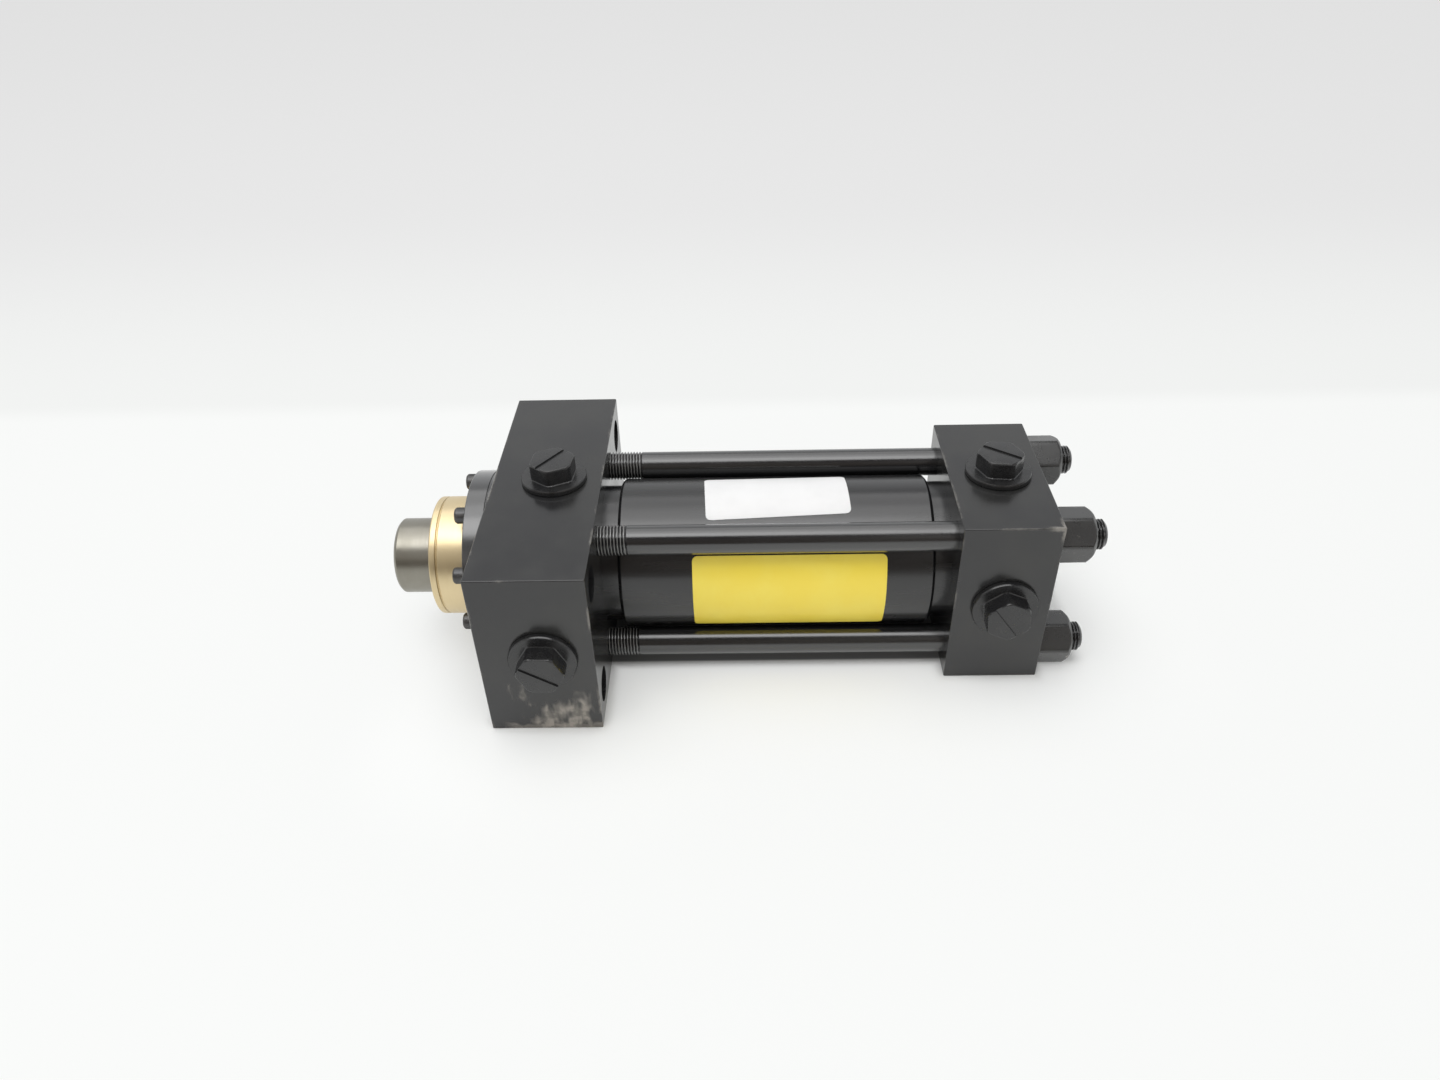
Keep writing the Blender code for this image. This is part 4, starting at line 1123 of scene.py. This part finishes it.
def distance_from_part(recipe):
    """How far a point of the floor is from the blocks and from what spans them."""
    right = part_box("tie_rod_rear_lower")[1].x
    nearest = distance_from_box(recipe, *span_box(HEAD_LOW.x, right, CONTACT_SHADOW))
    for low, high in ((HEAD_LOW, HEAD_HIGH), (CAP_LOW, CAP_HIGH)):
        nearest = recipe.math("MINIMUM", nearest, distance_from_box(recipe, low, high))
    return nearest


def build_floor():
    """A pale floor that turns to a slightly darker backdrop behind the part.

    Close to the part the floor is only lit, so that it takes the part's shadow, and between the
    blocks a painted shade darkens its colour. Further off it glows more and more for the camera and for
    reflections, so that it stays evenly pale.
    """
    mesh = bpy.data.meshes.new("floor")
    half = FLOOR_SIZE / 2
    corners = [(-half, -half, 0), (half, -half, 0), (half, half, 0), (-half, half, 0)]
    mesh.from_pydata(corners, [], [(0, 1, 2, 3)])
    floor = bpy.data.objects.new("floor", mesh)
    bpy.context.scene.collection.objects.link(floor)
    floor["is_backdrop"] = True
    recipe = Recipe("pale_floor", roughness=0.6, specular=0.2)
    y = recipe.axes(recipe.place)[1]
    wall = recipe.blend(recipe.ramp(y, WALL_START, WALL_FADE), WALL_LOW, WALL_HIGH)
    turn = recipe.ramp(y, WALL_START - WALL_BLEND, WALL_START + WALL_BLEND)
    shade = recipe.blend(turn, FLOOR_WHITE, wall)
    # Between the blocks the floor's colour turns to a painted shade under the tube and tie rods
    from_span = distance_from_box(recipe, *span_box(HEAD_HIGH.x, CAP_LOW.x))
    painted_shade_share = recipe.ramp(from_span, 0.0, CONTACT_SHADOW, 1.0, 0.0)
    recipe.colour(recipe.blend(painted_shade_share, shade, PAINTED_SHADE_UNDER_SPAN))
    glow = recipe.node("ShaderNodeEmission", {"Color": shade, "Strength": 1.0})
    rays = recipe.node("ShaderNodeLightPath").outputs
    seen = recipe.math("MAXIMUM", rays["Is Camera Ray"], rays["Is Glossy Ray"])
    seen = recipe.math("MAXIMUM", seen, rays["Is Transmission Ray"])
    away = distance_from_part(recipe)
    near_glow = recipe.ramp(away, 0.0, GLOW_NEAR_REACH, 0.0, GLOW_NEAR)
    far_glow = recipe.ramp(away, 0.0, GLOW_FAR_REACH, 0.0, GLOW_FAR)
    glowing = recipe.math("ADD", near_glow, far_glow)
    share = recipe.math("MULTIPLY", seen, glowing)
    lit = recipe.shader.outputs[0]
    mixed = recipe.node("ShaderNodeMixShader", {0: share, 1: lit, 2: glow.outputs[0]})
    recipe.feed(recipe.tree.nodes["Material Output"].inputs["Surface"], mixed.outputs[0])
    mesh.materials.append(recipe.material)


def build_world():
    """A pale backdrop all round, in a room that is darkest behind the camera and at the zenith."""
    world = bpy.data.worlds.new("room")
    bpy.context.scene.world = world
    world.use_nodes = True
    room = Nodes(world.node_tree)
    x, y, z = room.axes(room.node("ShaderNodeTexCoord").outputs["Generated"])
    viewer_side = room.ramp(y, *VIEWER_SIDE, 1.0, 0.0)
    aside = room.ramp(room.math("ABSOLUTE", x), *ASIDE)
    raised = room.ramp(z, *RAISED)
    front = room.blend(room.math("MULTIPLY", aside, raised), ROOM_FRONT, ROOM_SIDES)
    level = room.ramp(z, *ZENITH, 1.0, ZENITH_SHARE)
    rays = room.node("ShaderNodeLightPath").outputs
    seen = room.math("MAXIMUM", rays["Is Camera Ray"], rays["Is Transmission Ray"])
    around = room.blend(viewer_side, ROOM_BACK, front)
    background = world.node_tree.nodes["Background"]
    room.feed(background.inputs["Color"], room.blend(seen, around, BACKDROP))
    room.feed(background.inputs["Strength"], room.math("MAXIMUM", level, seen))


def add_lamp(name, place, size, power):
    """A rectangular lamp that points at LAMP_AIM."""
    data = bpy.data.lights.new(name, "AREA")
    data.shape = "RECTANGLE"
    data.size, data.size_y = size
    data.energy = power
    lamp = bpy.data.objects.new(name, data)
    bpy.context.scene.collection.objects.link(lamp)
    lamp.location = place
    lamp.rotation_euler = (LAMP_AIM - Vector(place)).to_track_quat("-Z", "Y").to_euler()
    return lamp


def build_light():
    """Three panels overhead, dimmer from front to back, and a fill that leaves no glints."""
    add_lamp("main_panel", place=(-0.12, -0.355, 1.238), size=(1.3, 0.58), power=8.1)
    add_lamp("top_panel", place=(-0.12, 0.142, 1.282), size=(1.3, 0.42), power=3.7)
    add_lamp("back_panel", place=(-0.12, 0.606, 1.133), size=(1.3, 0.58), power=3.3)
    fill = add_lamp("fill", place=(-0.1, -1.1, 0.60), size=(0.9, 0.7), power=3.0)
    fill.visible_glossy = False


def build_camera():
    """The camera at the photograph's viewing angle."""
    data = bpy.data.cameras.new("camera")
    data.lens = CAMERA_LENS
    data.sensor_width = CAMERA_SENSOR
    data.sensor_fit = "HORIZONTAL"
    data.clip_start = CAMERA_CLIP
    camera = bpy.data.objects.new("camera", data)
    bpy.context.scene.collection.objects.link(camera)
    camera.location = CAMERA_PLACE
    camera.rotation_mode = "QUATERNION"
    look = (CAMERA_AIM - CAMERA_PLACE).to_track_quat("-Z", "Y")
    camera.rotation_quaternion = look @ Quaternion((0, 0, 1), CAMERA_ROLL)
    bpy.context.scene.camera = camera


def build_part():
    """Every piece of the part, with its material."""
    gloss = GlossPaint("gloss_black_paint", roughness=(0.20, 0.30), specular=0.85).material
    ring_gloss = GlossPaint("retainer_paint", roughness=(0.18, 0.26), coat=1.0).material
    rod_gloss = GlossPaint("tie_rod_paint", roughness=(0.20, 0.27), coat=0.5)
    rod_gloss.paint_crest_highlights()
    dull = dull_paint()
    oxide = black_oxide()
    bronze = turned_metal(
        "bronze",
        dark=(0.755, 0.62, 0.38),
        light=(0.79, 0.65, 0.41),
        roughness=(0.34, 0.42),
        mark_scale=2600,
    )
    steel = turned_metal(
        "ground_steel",
        dark=(0.275, 0.262, 0.222),
        light=(0.315, 0.30, 0.26),
        roughness=(0.30, 0.37),
        mark_scale=3200,
    )
    iron = turned_metal(
        "piston_iron",
        dark=(0.14, 0.14, 0.15),
        light=(0.2, 0.2, 0.21),
        roughness=(0.4, 0.55),
        mark_scale=1500,
    )
    plastic = moulded_plastic()
    rubber = seal_rubber("black_rubber", dark=(0.012, 0.012, 0.012), light=(0.022, 0.022, 0.022))
    polymer = seal_rubber("blue_polymer", dark=(0.04, 0.07, 0.16), light=(0.06, 0.10, 0.22))
    yellow = plain_label("yellow_label", tint=(0.93, 0.735, 0.085), faded=(0.94, 0.77, 0.115))
    white = plain_label("white_label", tint=(0.745, 0.745, 0.745), faded=(0.79, 0.79, 0.79))
    build_blocks()
    build_tube(gloss)
    build_tie_rods(rod_gloss.material, dull)
    build_gland(bronze, polymer)
    build_retainer(ring_gloss, oxide)
    build_rod(steel)
    build_plugs(plastic)
    build_labels(yellow, white)
    dress_hidden_nodes(rubber, polymer, iron, oxide)


build_part()
build_floor()
build_world()
build_light()
build_camera()
bpy.context.scene.view_settings.view_transform = "Standard"
boxes = {"cad": CAD_BOX, "visual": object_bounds()}
{key: [list(corner) for corner in box] for key, box in boxes.items()}
